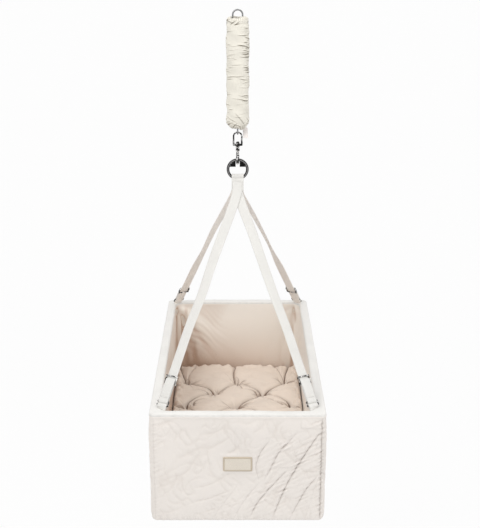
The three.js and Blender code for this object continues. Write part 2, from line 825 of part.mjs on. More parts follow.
function cornerPocket(sideX, sideY) {
  // the way into a corner, across it, and the middle of the tab's hidden tail at the rim
  const inward = at(-sideX, -sideY, 0).normalize();
  const across = at(1, -sideX * sideY, 0).normalize();
  const middle = at(sideX * cornerX, sideY * cornerY, rimZ).addScaledVector(inward, -tabReach);
  return { inward, across, middle };
}

function tab(sideX, sideY, line) {
  // a folded band: two tails down behind the liner's corner, and a bend over the anchor ring's bar
  const { inward, across: low, middle } = cornerPocket(sideX, sideY);
  const { anchor, up, across: high, face } = line;
  const tailOffset = (webThickness + clearance) / 2;
  const exit = middle;
  const neck = along(anchor, [up, -wrapRadius]);
  const outerFace = inward.clone().negate();
  const spine = [
    { middle: along(middle, [Z, -tabTail]), across: low, facing: outerFace, offset: tailOffset },
    { middle: exit, across: low, facing: outerFace, offset: tailOffset },
    {
      middle: exit.clone().lerp(neck, 1 / 2),
      across: low.clone().lerp(high, 1 / 2).normalize(),
      facing: outerFace.clone().lerp(face, 1 / 2).normalize(),
      offset: (tailOffset + wrapRadius) / 2,
    },
  ];
  const side = (sign) => spine.map((station) => ({
    middle: along(station.middle, [station.facing, sign * station.offset]),
    across: station.across,
    facing: station.facing.clone().multiplyScalar(sign),
  }));
  const fold = wrap(anchor, face, up, wrapRadius, 0, Math.PI, high);
  const stations = [...side(1), ...fold, ...side(-1).reverse()];
  return ribbon(stations, webWidth, webThickness);
}

// Box

function outerCover() {
  const [bottom, top] = [floorZ, wallTop];
  const outside = roundedBlock(cradleWidth, cradleLength, coverCorner, bottom, top);
  const inside = roundedBlock(
    cradleWidth - 2 * coverThickness,
    cradleLength - 2 * coverThickness,
    coverCorner - coverThickness,
    bottom + coverThickness,
    top + cutOverrun,
  );
  return cut(outside, inside);
}

function innerLiner() {
  const outside = roundedBlock(
    innerWidth + 2 * linerThickness,
    innerLength + 2 * linerThickness,
    linerCorner + linerThickness,
    linerFloor,
    wallTop,
  );
  const inside = roundedBlock(
    innerWidth,
    innerLength,
    linerCorner,
    linerFloor + linerThickness,
    wallTop + cutOverrun,
  );
  return cut(outside, inside);
}

const boardWidth = cradleWidth - 2 * boardInset;
const boardLength = cradleLength - 2 * boardInset;
const boardBottom = baseTop + clearance;

function boardAlong(sideX) {
  // a side wall's board, between the end walls' boards
  const length = boardLength - 2 * (boardThickness + clearance);
  const middle = at(sideX * (boardWidth - boardThickness) / 2, 0, (boardBottom + wallTop) / 2);
  return block(boardThickness, length, wallTop - boardBottom, middle);
}

function boardAcross(sideY) {
  // an end wall's board, short of the cover's rounded corners
  const middle = at(0, sideY * (boardLength - boardThickness) / 2, (boardBottom + wallTop) / 2);
  const width = boardWidth - 2 * (coverCorner - coverThickness);
  return block(width, boardThickness, wallTop - boardBottom, middle);
}

function baseBoard() {
  const corner = coverCorner - coverThickness;
  return roundedBlock(boardWidth, boardLength, corner, baseBoardZ, baseTop);
}

function rimBand() {
  // a padded band round the top, its section lofted between the outer and the inner outline
  const sections = [];
  for (let quarter = 0; quarter < 4; quarter++) {
    const sideX = quarter === 0 || quarter === 3 ? 1 : -1;
    const sideY = quarter < 2 ? 1 : -1;
    for (let i = 0; i <= cornerSteps; i++) {
      const angle = (Math.PI / 2) * (quarter + i / cornerSteps);
      const way = at(Math.cos(angle), Math.sin(angle), 0);
      const outer = at(
        sideX * (cradleWidth / 2 - coverCorner),
        sideY * (cradleLength / 2 - coverCorner),
        rimZ,
      ).addScaledVector(way, coverCorner);
      const inner = at(sideX * cornerX, sideY * cornerY, rimZ).addScaledVector(way, linerCorner);
      const points = rimRunShares.map((share, k) => {
        const fall = share < 1 / 2 ? rimOuterFall : rimInnerFall;
        return outer.clone().lerp(inner, share).addScaledVector(Z, -fall * (1 - rimRiseShares[k]));
      });
      points.push(along(inner, [Z, -rimHeight]), along(outer, [Z, -rimHeight]));
      sections.push(points);
    }
  }
  const slits = [];
  for (const [sideX, sideY] of corners) {
    const { inward, across, middle } = cornerPocket(sideX, sideY);
    const depth = 2 * webThickness + 3 * clearance;
    slits.push(ribbon([-rimHeight - cutOverrun, rimHeight].map((rise) => (
      { middle: along(middle, [Z, rise]), across, facing: inward }
    )), webWidth + 2 * clearance, depth));
  }
  return cut(sweep(sections, true), ...slits);
}

function labelPatch() {
  const geometry = new THREE.ExtrudeGeometry(roundedPlan(patchWidth, patchHeight, patchCorner), {
    depth: patchThickness,
    bevelEnabled: false,
    curveSegments: cornerSteps,
  });
  geometry.rotateX(Math.PI / 2);
  geometry.translate(0, -cradleLength / 2 - clearance, rimZ - patchDrop);
  return geometry;
}

// Mattress

function tuftPlaces() {
  // rows of three and rows of two, turn about, like the fives on dice
  const places = [];
  for (let row = 0; row < tuftRows; row++) {
    const y = (row - (tuftRows - 1) / 2) * tuftRowPitch;
    const columns = row % 2 === 0 ? [-1 / 2, 1 / 2] : [-1, 0, 1];
    for (const column of columns) places.push([column * tuftColumnPitch, y]);
  }
  return places;
}

function mattress() {
  // two crowned sheets joined at a drawn-in side, the upper one pulled down at the tufts
  const [columns, rows] = [padColumns, padRows];
  const halfWidth = innerWidth / 2 - mattressGap;
  const halfLength = innerLength / 2 - mattressGap;
  const tufts = tuftPlaces();
  const outline = (u, v) => {
    // from the unit square to a rectangle with round corners
    const [x, y] = [u * halfWidth, v * halfLength];
    const overX = Math.abs(x) - halfWidth + mattressCorner;
    const overY = Math.abs(y) - halfLength + mattressCorner;
    if (overX <= 0 || overY <= 0) return [x, y];
    const longest = Math.max(overX, overY);
    const scale = longest / Math.hypot(overX, overY);
    return [
      Math.sign(x) * (halfWidth - mattressCorner + overX * scale),
      Math.sign(y) * (halfLength - mattressCorner + overY * scale),
    ];
  };
  const height = (u, v, x, y) => {
    const edge = (1 - u ** crownAcrossPower) * (1 - v ** crownAlongPower);
    let rise = mattressEdge + (mattressThickness - mattressEdge) * Math.sqrt(edge);
    for (const [tuftX, tuftY] of tufts) {
      const away = Math.hypot(x - tuftX, y - tuftY) / tuftReach;
      rise -= tuftDepth * Math.exp(-away * away);
    }
    return rise;
  };
  const points = [];
  const faces = [];
  const grid = (level) => {
    const first = points.length / 3;
    for (let j = 0; j <= rows; j++) {
      for (let i = 0; i <= columns; i++) {
        const [u, v] = [2 * i / columns - 1, 2 * j / rows - 1];
        const [x, y] = outline(u, v);
        points.push(x, y, padBottom + level(u, v, x, y));
      }
    }
    return first;
  };
  const upper = grid(height);
  const lower = grid(() => 0);
  const row = columns + 1;
  for (let j = 0; j < rows; j++) {
    for (let i = 0; i < columns; i++) {
      const k = j * row + i;
      faces.push(upper + k, upper + k + 1, upper + k + row + 1);
      faces.push(upper + k, upper + k + row + 1, upper + k + row);
      faces.push(lower + k, lower + k + row + 1, lower + k + 1);
      faces.push(lower + k, lower + k + row, lower + k + row + 1);
    }
  }
  const rim = [];
  for (let i = 0; i < columns; i++) rim.push(i);
  for (let j = 0; j < rows; j++) rim.push(j * row + columns);
  for (let i = columns; i > 0; i--) rim.push(rows * row + i);
  for (let j = rows; j > 0; j--) rim.push(j * row);
  rim.forEach((k, n) => {
    const next = rim[(n + 1) % rim.length];
    faces.push(lower + k, lower + next, upper + next, lower + k, upper + next, upper + k);
  });
  const geometry = new THREE.BufferGeometry();
  geometry.setAttribute('position', new THREE.Float32BufferAttribute(points, 3));
  geometry.setIndex(faces);
  return outward(geometry);
}

add('spring_top_hook', 'steel', topHook());
add('spring_top_plug', 'steel', plug(topPlugZ, 1));
add('spring_coil', 'spring', coil());
add('spring_bottom_plug', 'steel', plug(bottomPlugZ, -1));
add('spring_bottom_hook', 'steel', bottomHook());
add('safety_cord', 'cord', safetyCord());
add('spring_sleeve', 'ruched', sleeve());
add('sleeve_tag', 'tag', sleeveTag());
add('swivel_bow', 'nickel', bow());
add('swivel_pin', 'nickel', swivelPin());
add('snap_hook', 'nickel', snapHook());
add('hook_gate', 'nickel', gate());
add('gate_pin', 'steel', gatePin());
add('gate_spring', 'spring', gateSpring());
add('hanger_ring', 'nickel', ring());
add('ring_wedge_left', 'blackened', wedge(-1));
add('ring_wedge_right', 'blackened', wedge(1));
add('ring_loop', 'webbing', ringLoop());
for (const [sideX, sideY] of corners) {
  const corner = `${sideY < 0 ? 'front' : 'rear'}_${sideX < 0 ? 'left' : 'right'}`;
  const line = strapLine(sideX, sideY);
  add(`strap_${corner}`, 'webbing', strap(line));
  add(`strap_return_${corner}`, 'webbing', strapReturn(line));
  add(`slider_${corner}`, 'nickel', slider(line));
  add(`anchor_ring_${corner}`, 'nickel', anchorRing(line));
  add(`anchor_tab_${corner}`, 'webbing', tab(sideX, sideY, line));
}
add('outer_cover', 'cover', outerCover());
add('rim_band', 'rim', rimBand());
add('inner_liner', 'liner', innerLiner());
add('board_left', 'board', boardAlong(-1));
add('board_right', 'board', boardAlong(1));
add('board_front', 'board', boardAcross(-1));
add('board_rear', 'board', boardAcross(1));
add('base_board', 'board', baseBoard());
add('label_patch', 'patch', labelPatch());
add('mattress', 'pad', mattress());

export default cradle;
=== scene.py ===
"""A hanging baby cradle, dressed round its measured solids: a quilted fabric box with a tufted pad,
four webbing straps with slide buckles, a ring, a swivel snap hook and a coil spring in a gathered
cotton sleeve. Metres, +Z up, with the front of the box towards -Y."""

import json
import math

import bpy
import numpy as np
from bpy.props import FloatProperty, FloatVectorProperty, PointerProperty
from bpy.types import Operator, Panel, PropertyGroup
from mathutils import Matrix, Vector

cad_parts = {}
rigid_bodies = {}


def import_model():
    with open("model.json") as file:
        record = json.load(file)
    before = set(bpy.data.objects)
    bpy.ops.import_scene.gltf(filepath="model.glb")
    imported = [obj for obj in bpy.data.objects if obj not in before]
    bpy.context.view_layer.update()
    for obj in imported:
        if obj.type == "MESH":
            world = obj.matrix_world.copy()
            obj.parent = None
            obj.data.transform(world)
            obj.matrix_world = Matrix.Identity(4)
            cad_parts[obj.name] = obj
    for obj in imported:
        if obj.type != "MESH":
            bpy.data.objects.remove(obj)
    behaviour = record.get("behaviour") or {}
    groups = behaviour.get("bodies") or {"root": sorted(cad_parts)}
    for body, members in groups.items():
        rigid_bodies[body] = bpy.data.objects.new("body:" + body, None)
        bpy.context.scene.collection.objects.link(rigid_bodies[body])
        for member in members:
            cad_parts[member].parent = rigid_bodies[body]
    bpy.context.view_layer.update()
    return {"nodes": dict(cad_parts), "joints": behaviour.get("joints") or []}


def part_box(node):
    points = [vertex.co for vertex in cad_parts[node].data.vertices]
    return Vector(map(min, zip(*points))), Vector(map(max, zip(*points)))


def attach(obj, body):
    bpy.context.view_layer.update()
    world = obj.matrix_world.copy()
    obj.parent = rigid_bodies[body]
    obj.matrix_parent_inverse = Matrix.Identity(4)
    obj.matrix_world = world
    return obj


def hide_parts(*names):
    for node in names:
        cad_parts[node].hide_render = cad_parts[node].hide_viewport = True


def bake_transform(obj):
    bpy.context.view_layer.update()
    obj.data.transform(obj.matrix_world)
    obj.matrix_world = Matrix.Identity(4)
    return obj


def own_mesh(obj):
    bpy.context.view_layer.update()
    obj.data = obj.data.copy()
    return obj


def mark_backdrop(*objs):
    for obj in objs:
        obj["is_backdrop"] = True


bl_info = {
    "name": "Hanging baby cradle",
    "version": (1, 0, 0),
    "blender": (4, 5, 0),
    "location": "View3D > Sidebar > Cradle",
    "description": "Builds the fabric, webbing and metal of a hanging baby cradle round its solids",
    "category": "Object",
}

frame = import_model()

MM = 0.001
TURN = 2 * math.pi
WEB = 25 * MM  # width of the webbing
CORNERS = ("front_left", "front_right", "rear_left", "rear_right")
UP = np.array([0.0, 0.0, 1.0])
RIGHT = np.array([1.0, 0.0, 0.0])
BACK = np.array([0.0, 1.0, 0.0])


def colour(name, description, value):
    """A colour setting with its description."""
    return FloatVectorProperty(
        name=name, description=description, default=value, size=3, subtype="COLOR", min=0, max=1
    )


def length(name, description, value):
    """A length setting in metres."""
    return FloatProperty(name=name, description=description, default=value, unit="LENGTH", min=0)


class CradleSizes(PropertyGroup):
    """Sizes of the fabric and of the finer details."""

    sleeve_gather: length("Sleeve gather", "Height of the sleeve's gathers", 2.6 * MM)
    sleeve_gather_pitch: length("Gather pitch", "Distance from one gather to the next", 4.4 * MM)
    web_thickness: length("Webbing thickness", "Thickness of the straps", 1.5 * MM)
    cover_puff: length("Cover puff", "How far the quilted cover swells out", 5 * MM)
    channel_depth: length("Channel depth", "Depth of the sewn quilting channels", 3.4 * MM)
    rim_wrinkle: length("Rim wrinkle", "Height of the puckers along the rim", 0.8 * MM)
    liner_fold: length("Liner fold", "Depth of the liner's soft folds", 5 * MM)
    pad_tuft: length("Tuft depth", "How deep the tufts are pulled into the pad", 20 * MM)
    pad_crease: length("Crease depth", "Depth of the creases between tufts", 8 * MM)
    stitch_length: length("Stitch length", "Length of one sewing stitch", 3 * MM)


class CradleColours(PropertyGroup):
    """Colours of the cloth and of the metal."""

    sleeve: colour("Sleeve", "Gathered cotton round the spring", (0.80, 0.765, 0.68))
    webbing: colour("Webbing", "Front straps, loop and corner tabs", (0.785, 0.77, 0.735))
    # A lighter, warmer copy of the webbing: painted light on the rear straps, whose seen faces turn away from
    # the lamps.
    webbing_rear: colour("Rear webbing", "Rear straps and corner tabs", (0.97, 0.925, 0.875))
    cover: colour("Cover", "Quilted outside of the box", (0.83, 0.78, 0.733))
    rim: colour("Rim", "Padded band round the top", (0.785, 0.77, 0.74))
    liner: colour("Liner", "Smooth inside of the box", (0.90, 0.85, 0.785))
    pad: colour("Pad", "Tufted pad", (0.80, 0.70, 0.61))
    patch: colour("Patch", "Bare patch on the front", (0.82, 0.75, 0.65))
    thread: colour("Thread", "Sewing thread", (0.82, 0.78, 0.72))
    steel: colour("Steel", "Bent wire hooks", (0.27, 0.27, 0.27))
    nickel: colour("Nickel", "Snap hook and swivel", (0.58, 0.57, 0.56))
    dark_nickel: colour("Dark nickel", "Ring and buckles", (0.20, 0.195, 0.195))
    board: colour("Board", "Stiffening boards inside the walls", (0.60, 0.46, 0.31))


def sizes():
    """The settings' lengths."""
    return bpy.context.scene.cradle_sizes


def paint(name):
    """A colour of the settings."""
    return tuple(getattr(bpy.context.scene.cradle_colours, name))


# Shapes as whole arrays


def unit(vectors):
    """Each vector divided by its own length."""
    vectors = np.asarray(vectors, float)
    return vectors / np.linalg.norm(vectors, axis=-1, keepdims=True)


def smooth(low, high, value):
    """0 below low, 1 above high and 3t^2 - 2t^3 between."""
    share = np.clip((value - low) / (high - low), 0, 1)
    return share * share * (3 - 2 * share)


def ripple(seed, count, across, along):
    """Smooth uneven waves: a sum of sines, each with its own turns per unit across and along.

    across and along are pairs of an array and the lowest and highest frequency in radians per unit.
    """
    rng = np.random.default_rng(seed)
    (u, u_low, u_high), (v, v_low, v_high) = across, along
    total = np.zeros(np.broadcast(u, v).shape)
    for _ in range(count):
        turn_u = rng.uniform(u_low, u_high) * rng.choice((-1, 1))
        turn_v = rng.uniform(v_low, v_high)
        total += np.sin(turn_u * u + turn_v * v + rng.uniform(0, TURN))
    return total / math.sqrt(count / 2)


def round_ripple(seed, count, angle, most, along, low, high):
    """The same sum round a closed outline: every wave takes a whole number of turns round it."""
    rng = np.random.default_rng(seed)
    total = np.zeros(np.broadcast(angle, along).shape)
    for _ in range(count):
        turns = rng.integers(-most, most + 1)
        total += np.sin(turns * angle + rng.uniform(low, high) * along + rng.uniform(0, TURN))
    return total / math.sqrt(count / 2)


def spun(angle, first, second):
    """From one direction towards another: cosine x first + sine x second."""
    return np.cos(angle) * first + np.sin(angle) * second


def signed_power(value, power):
    """A value's size to 2 / power, with its sign, which rounds a rectangle's corners."""
    return np.sign(value) * np.abs(value) ** (2 / power)


def cloth_uv(around, along):
    """UVs of a grid in metres, from its distances round and along."""
    return meet(around[None, :], along[:, None])


def meet(*arrays):
    """Arrays of one grid's x, y and z, each spread to the whole grid, as its points."""
    return np.stack(np.broadcast_arrays(*arrays), axis=-1)


def bump(distance, width, middle=0, power=2):
    """1 at the middle, falling to 1 / e at a width away: e to the minus (distance / width)^power."""
    return np.exp(-(((distance - middle) / width) ** power))


def shaped(name, points, faces, uv=None, values=None):
    """A mesh object from arrays of points and faces, its UVs per face corner, values per point."""
    mesh = bpy.data.meshes.new(name)
    mesh.from_pydata(points.reshape(-1, 3).tolist(), [], faces)
    mesh.polygons.foreach_set("use_smooth", np.ones(len(mesh.polygons), bool))
    if uv is not None:
        layer = mesh.uv_layers.new(name="UVMap")
        layer.data.foreach_set("uv", uv.astype(np.float32).ravel())
    for key, value in (values or {}).items():
        attribute = mesh.attributes.new(key, "FLOAT", "POINT")
        attribute.data.foreach_set("value", np.asarray(value, np.float32).ravel())
    mesh.validate()
    piece = bpy.data.objects.new(name, mesh)
    bpy.context.scene.collection.objects.link(piece)
    return piece


def grid_faces(rows, columns, wrap=False, close=False):
    """Quads of a grid as an array: row by row, joined round in a column loop and along if closed."""
    i = np.arange(rows if close else rows - 1)[:, None]
    j = np.arange(columns if wrap else columns - 1)[None, :]
    here, below = i * columns, ((i + 1) % rows) * columns
    right = (j + 1) % columns
    return np.stack([here + j, here + right, below + right, below + j], axis=-1).reshape(-1, 4)


def is_inside_out(points, quads, ends=()):
    """Whether a closed shape's faces point in: the sum of its triangles' signed volumes is below 0."""
    points = points.reshape(-1, 3) - points.reshape(-1, 3).mean(0)
    fans = [[end[0], end[k], end[k + 1]] for end in ends for k in range(1, len(end) - 1)]
    triangles = np.vstack([quads[:, [0, 1, 2]], quads[:, [0, 2, 3]], *([fans] if fans else [])])
    a, b, c = (points[triangles[:, k]] for k in range(3))
    return float((a * np.cross(b, c)).sum()) < 0


def skin(name, grid, wrap=True, close=False, uv=None, values=None):
    """A surface over a grid of points: rows along the piece, columns round it, ends capped.

    uv has one column more than the grid where it wraps, and one row more where it closes. A closed
    shape is turned to face out.
    """
    rows, columns = grid.shape[:2]
    quads = grid_faces(rows, columns, wrap, close)
    ends = []
    if wrap and not close:
        last = (rows - 1) * columns
        ends = [list(range(columns - 1, -1, -1)), list(range(last, last + columns))]
    turned_in = bool(close or ends) and is_inside_out(grid, quads, ends)
    order = slice(None, None, -1 if turned_in else 1)
    faces = quads[:, order].tolist() + [end[order] for end in ends]
    corner_uv = None
    if uv is not None:
        wide = uv.shape[1]
        i = np.arange(rows if close else rows - 1)[:, None]
        j = np.arange(columns if wrap else columns - 1)[None, :]
        here, below = i * wide + j, (i + 1) * wide + j
        index = np.stack([here, here + 1, below + 1, below], axis=-1).reshape(-1, 4)
        flat = uv.reshape(-1, 2)
        spots = [[(v // columns) * wide + v % columns for v in end[order]] for end in ends]
        corner_uv = np.vstack([flat[index[:, order].ravel()], *(flat[spot] for spot in spots)])
    return shaped(name, grid, faces, corner_uv, values)


def tangents(path, close=False):
    """Directions along a line of points, by central differences."""
    if close:
        return unit(np.roll(path, -1, axis=0) - np.roll(path, 1, axis=0))
    return unit(np.gradient(path, axis=0))


def run_of(path):
    """Distance along a line of points from its first."""
    steps = np.linalg.norm(np.diff(path, axis=0), axis=1)
    return np.concatenate([[0], np.cumsum(steps)])


def tube(path, radius, side, sides=16, close=False):
    """A round wire: circles square to the path, started from the given side direction."""
    way = tangents(path, close)
    side = np.broadcast_to(np.asarray(side, float), path.shape)
    out = unit(side - (side * way).sum(1, keepdims=True) * way)
    third = np.cross(way, out)
    angle = np.linspace(0, TURN, sides, endpoint=False)[None, :, None]
    reach = np.broadcast_to(np.asarray(radius, float), (len(path),))[:, None, None]
    return path[:, None] + reach * spun(angle, out[:, None], third[:, None])


def wire_piece(name, path, radius, side, sides=16, close=False):
    """A tube as a piece, with its distance along and round as UVs in metres."""
    grid = tube(path, radius, side, sides, close)
    around = np.linspace(0, TURN, sides + 1) * float(np.max(radius))
    reach = run_of(np.vstack([path, path[:1]]) if close else path)
    return skin(name, grid, close=close, uv=cloth_uv(around, reach))


def lathe(name, profile, centre, axis=UP, sides=48, ring=False):
    """A turned shape: a profile of (radius, height) spun round an axis, from axis to axis or as a ring."""
    profile, axis = np.asarray(profile, float), unit(axis)
    first = unit(np.cross(axis, RIGHT if abs(axis[0]) < 0.9 else BACK))
    angle = np.linspace(0, TURN, sides, endpoint=False)[None, :, None]
    radius = np.maximum(profile[:, 0], 0.02 * MM)[:, None, None]
    height = profile[:, 1][:, None, None]
    grid = np.asarray(centre) + radius * spun(angle, first, np.cross(axis, first)) + height * axis
    if ring:
        return skin(name, grid.transpose(1, 0, 2), close=True)
    around = np.linspace(0, TURN, sides + 1) * profile[:, 0].max()
    return skin(name, grid, uv=cloth_uv(around, run_of(profile)))


def superellipse(count, power):
    """Points of a rounded rectangle between -1 and 1: signed powers of cosine and sine."""
    angle = np.linspace(0, TURN, count, endpoint=False)
    return signed_power(np.cos(angle), power), signed_power(np.sin(angle), power)


def band(name, middle, across, facing, width, thickness, columns, cup=None):
    """A strap: a thin rounded section carried along a path, with flat webbing UVs in metres.

    across and facing give each section's directions, and cup lifts its edges off the middle.
    """
    edge = np.linspace(1, -1, columns // 2)
    rounding = np.minimum(1, np.sqrt(np.clip(1 - np.abs(edge) ** 12, 0, 1)) + 0.25)
    shift = np.concatenate([edge, edge[::-1]])
    rise = np.concatenate([rounding, -rounding])
    grid = middle[:, None] + across[:, None] * shift[None, :, None] * width / 2
    grid = grid + facing[:, None] * rise[None, :, None] * thickness / 2
    if cup is not None:
        lift = cup[:, None] * shift[None, :] ** 2
        grid = grid + facing[:, None] * lift[..., None]
    return skin(name, grid, uv=cloth_uv(np.append(shift, shift[0]) * width / 2, run_of(middle)))


def fuse(name, pieces):
    """Several shapes as one piece, each still its own closed shell."""
    for piece in bpy.context.scene.objects:
        piece.select_set(False)
    for piece in pieces:
        piece.select_set(True)
    bpy.context.view_layer.objects.active = pieces[0]
    bpy.ops.object.join()
    whole = bpy.context.view_layer.objects.active
    whole.name = name
    whole.data.name = name
    return whole


def rounded_block(name, centre, size, power=6, directions=(RIGHT, BACK, UP), count=28):
    """A block with rounded edges: a superellipse outline that shrinks by another towards its ends."""
    rise = np.linspace(-math.pi / 2, math.pi / 2, 13)[:, None]
    draw = np.maximum(signed_power(np.cos(rise), power), 0.02)
    x, y = superellipse(count, power)
    places = draw * x, draw * y, signed_power(np.sin(rise), power) + 0 * x
    terms = [place[..., None] * way * reach / 2 for place, way, reach in zip(places, directions, size)]
    return skin(name, np.asarray(centre, float) + (terms[0] + terms[1] + terms[2]))


def finish_piece(piece, material, body, replaces):
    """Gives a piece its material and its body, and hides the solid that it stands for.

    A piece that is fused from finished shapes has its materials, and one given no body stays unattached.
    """
    if material:
        piece.data.materials.clear()
        piece.data.materials.append(material)
    if body:
        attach(piece, body)
    if replaces:
        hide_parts(replaces)
    return piece


# Materials


def maths(operation, reflected=False):
    """A method that puts one maths node on a value and the values given, or on them in turned order."""

    def method(self, *others):
        values = (*others, self) if reflected else (self, *others)
        return self.finish.node("ShaderNodeMath", {"operation": operation}, values)[0]

    return method


class Value:
    """A node socket that adds, multiplies and compares like a number."""

    def __init__(self, finish, socket):
        self.finish = finish
        self.socket = socket

    __add__ = __radd__ = maths("ADD")
    __mul__ = __rmul__ = maths("MULTIPLY")
    __sub__, __rsub__ = maths("SUBTRACT"), maths("SUBTRACT", True)
    __truediv__, __rtruediv__ = maths("DIVIDE"), maths("DIVIDE", True)
    __pow__, __abs__ = maths("POWER"), maths("ABSOLUTE")
    __lt__, __gt__ = maths("LESS_THAN"), maths("GREATER_THAN")
    sine, part, floor, most = maths("SINE"), maths("FRACT"), maths("FLOOR"), maths("MAXIMUM")

    def between(self, low, high):
        """0 below low, 1 above high and an eased rise between them."""
        settings = {"interpolation_type": "SMOOTHSTEP"}
        return self.finish.node("ShaderNodeMapRange", settings, {"Value": self, 1: low, 2: high})[0]


class Finish:
    """One material, built as expressions on the values that its nodes give."""

    def __init__(self, name):
        self.material = bpy.data.materials.new(name)
        self.material.use_nodes = True
        self.tree = self.material.node_tree
        self.shader = self.tree.nodes["Principled BSDF"]

    def put(self, socket, value):
        """Links a value to a socket, or sets the socket to a number or colour."""
        if isinstance(value, Value):
            self.tree.links.new(value.socket, socket)
        elif hasattr(socket.default_value, "__len__") and len(socket.default_value) == 4:
            socket.default_value = (*value[:3], 1)
        else:
            socket.default_value = value

    def node(self, kind, settings=None, inputs=None):
        """A node of a kind, with its settings and then its inputs, as its list of outputs."""
        made = self.tree.nodes.new(kind)
        for key, value in (settings or {}).items():
            setattr(made, key, value)
        pairs = inputs.items() if isinstance(inputs, dict) else enumerate(inputs or ())
        for key, value in pairs:
            self.put(made.inputs[key], value)
        return [Value(self, socket) for socket in made.outputs]

    def place(self):
        """Object coordinates, in metres."""
        return self.node("ShaderNodeTexCoord")[3]

    def cloth(self):
        """The two UV values, in metres across and along the cloth."""
        uv = self.node("ShaderNodeTexCoord")[2]
        return self.node("ShaderNodeSeparateXYZ", None, [uv])[:2]

    def axes(self, vector):
        """The three values of a vector."""
        return self.node("ShaderNodeSeparateXYZ", None, [vector])

    def lines(self, across, along, scale, detail, roughness=0.5):
        """Noise over two values: drawn out into lines where the first one is squeezed."""
        place = self.node("ShaderNodeCombineXYZ", None, [across, along, 0.0])[0]
        return self.noise(place, scale, detail, roughness)

    def noise(self, place, scale, detail=2.0, roughness=0.5, stretch=None):
        """Smooth noise from 0 to 1 at a scale in cycles per metre."""
        if stretch is not None:
            place = self.node("ShaderNodeMapping", None, {"Vector": place, "Scale": stretch})[0]
        inputs = {"Vector": place, "Scale": scale, "Detail": detail, "Roughness": roughness}
        return self.node("ShaderNodeTexNoise", None, inputs)[0]

    def value_of(self, name):
        """A value that the mesh carries at its points."""
        return self.node("ShaderNodeAttribute", {"attribute_name": name})[2]

    def blend(self, share, first, second):
        """From one colour to another as share goes from 0 to 1."""
        settings = {"data_type": "RGBA", "clamp_factor": True}
        return self.node("ShaderNodeMix", settings, {0: share, 6: first, 7: second})[2]

    def surface(self, **sockets):
        """Sets the shader's sockets, named with underscores."""
        for key, value in sockets.items():
            self.put(self.shader.inputs[key.replace("_", " ").title().replace("Ior", "IOR")], value)
        return self

    def relief(self, height, distance, strength):
        """Raises the surface by a height from 0 to 1 times a distance in metres."""
        inputs = {"Strength": strength, "Distance": distance, "Height": height}
        self.put(self.shader.inputs["Normal"], self.node("ShaderNodeBump", None, inputs)[0])
        return self.material


def tint(base, share):
    """A colour times a share, kept below white."""
    return tuple(min(1.0, c * share) for c in base)


def shaded(base, shares):
    """A colour with a share of its own for red, green and blue."""
    return tuple(c * share for c, share in zip(base, shares))


def lump(finish, base, place, scale, reach):
    """Faint uneven colour over the cloth: base, lighter and darker by reach."""
    cloudy = finish.noise(place, scale, 3.0)
    return finish.blend(cloudy.between(0.3, 0.7), tint(base, 1 - reach), tint(base, 1 + reach))


def ridges(value, pitch):
    """Rounded ridges at a pitch: 0 in the grooves and 1 on top."""
    return abs((value * (math.pi / pitch)).sine())


def weave(u, v, pitch):
    """Plain weave: threads that pass over and under each other, 1 on top of a thread."""
    warp, weft = ridges(u, pitch), ridges(v, pitch)
    over = ((u / pitch).floor() + (v / pitch).floor()) * 0.5
    upper = (over.part() > 0.25) * 1.0
    return upper * warp + (1 - upper) * weft


def woven(finish, place, pitch):
    """Plain weave on Object coordinates, slanted so that no wall of a box runs along its threads."""
    x, y, z = finish.axes(place)
    return weave(x + y * 0.83, z + y * 0.31 - x * 0.27, pitch)


def soft_surface(finish, base, base_colour, lint, bright, sheen=0.25):
    """Matt cloth: its colour with paler lint on top, and a soft sheen."""
    base_colour = finish.blend(lint.between(0.45, 0.8) * 0.35, base_colour, tint(base, bright))
    roughness = 0.82 + lint * 0.14
    finish.surface(base_color=base_colour, roughness=roughness, sheen_weight=sheen)
    finish.surface(sheen_roughness=0.5, specular_ior_level=0.25)


def cotton(name, base, pitch, fuzz, cloud=14.0, crease=None, sheen=0.25, deep=(0.66, 0.66, 0.66)):
    """Plain woven cotton on Object coordinates: fine threads, lint, cloudy colour, and painted shade in the
    creases.
    """
    finish = Finish(name)
    place = finish.place()
    threads = woven(finish, place, pitch)
    lint = finish.noise(place, 1 / (2.5 * pitch), 3.0, 0.6)
    base_colour = lump(finish, base, place, cloud, 0.025)
    # Painted shade: the crease value darkens the colour towards deep in folds and hollows.
    if crease is not None:
        base_colour = finish.blend(finish.value_of(crease), base_colour, shaded(base, deep))
    soft_surface(finish, base, base_colour, lint, 1.06, sheen)
    return finish.relief(threads * 0.5 + lint * fuzz, 0.25 * MM, 0.55)


def webbing_finish(name, base):
    """Off-white narrow woven tape: diagonal ribs that meet in chevrons, and firm selvedges."""
    finish = Finish(name)
    u, v = finish.cloth()
    rib_pitch, row_pitch = 1.25 * MM, 0.9 * MM
    column = (u / (2 * rib_pitch)).part()
    chevron = abs(column - 0.5) * (2 * rib_pitch)
    ribs, cords = ridges(v + chevron, row_pitch), ridges(u, rib_pitch)
    selvedge = (abs(u) / (WEB / 2)).between(0.86, 0.97)
    height = (ribs * 0.6 + cords * 0.5) * (1 - selvedge * 0.5) + selvedge * 0.3
    lint = finish.noise(finish.place(), 900.0, 3.0)
    # Painted shade where the weave sinks in: the gaps between ribs and cords are darker.
    gap = 1 - (ribs * cords).between(0.0, 0.35)
    base_colour = lump(finish, base, finish.place(), 22.0, 0.02)
    base_colour = finish.blend(gap * 0.32, base_colour, tint(base, 0.62))
    base_colour = finish.blend(lint.between(0.55, 0.8) * 0.3, base_colour, tint(base, 1.08))
    finish.surface(base_color=base_colour, roughness=0.72 + lint * 0.2)
    finish.surface(sheen_weight=0.2, specular_ior_level=0.3)
    return finish.relief(height, 0.35 * MM, 0.8)


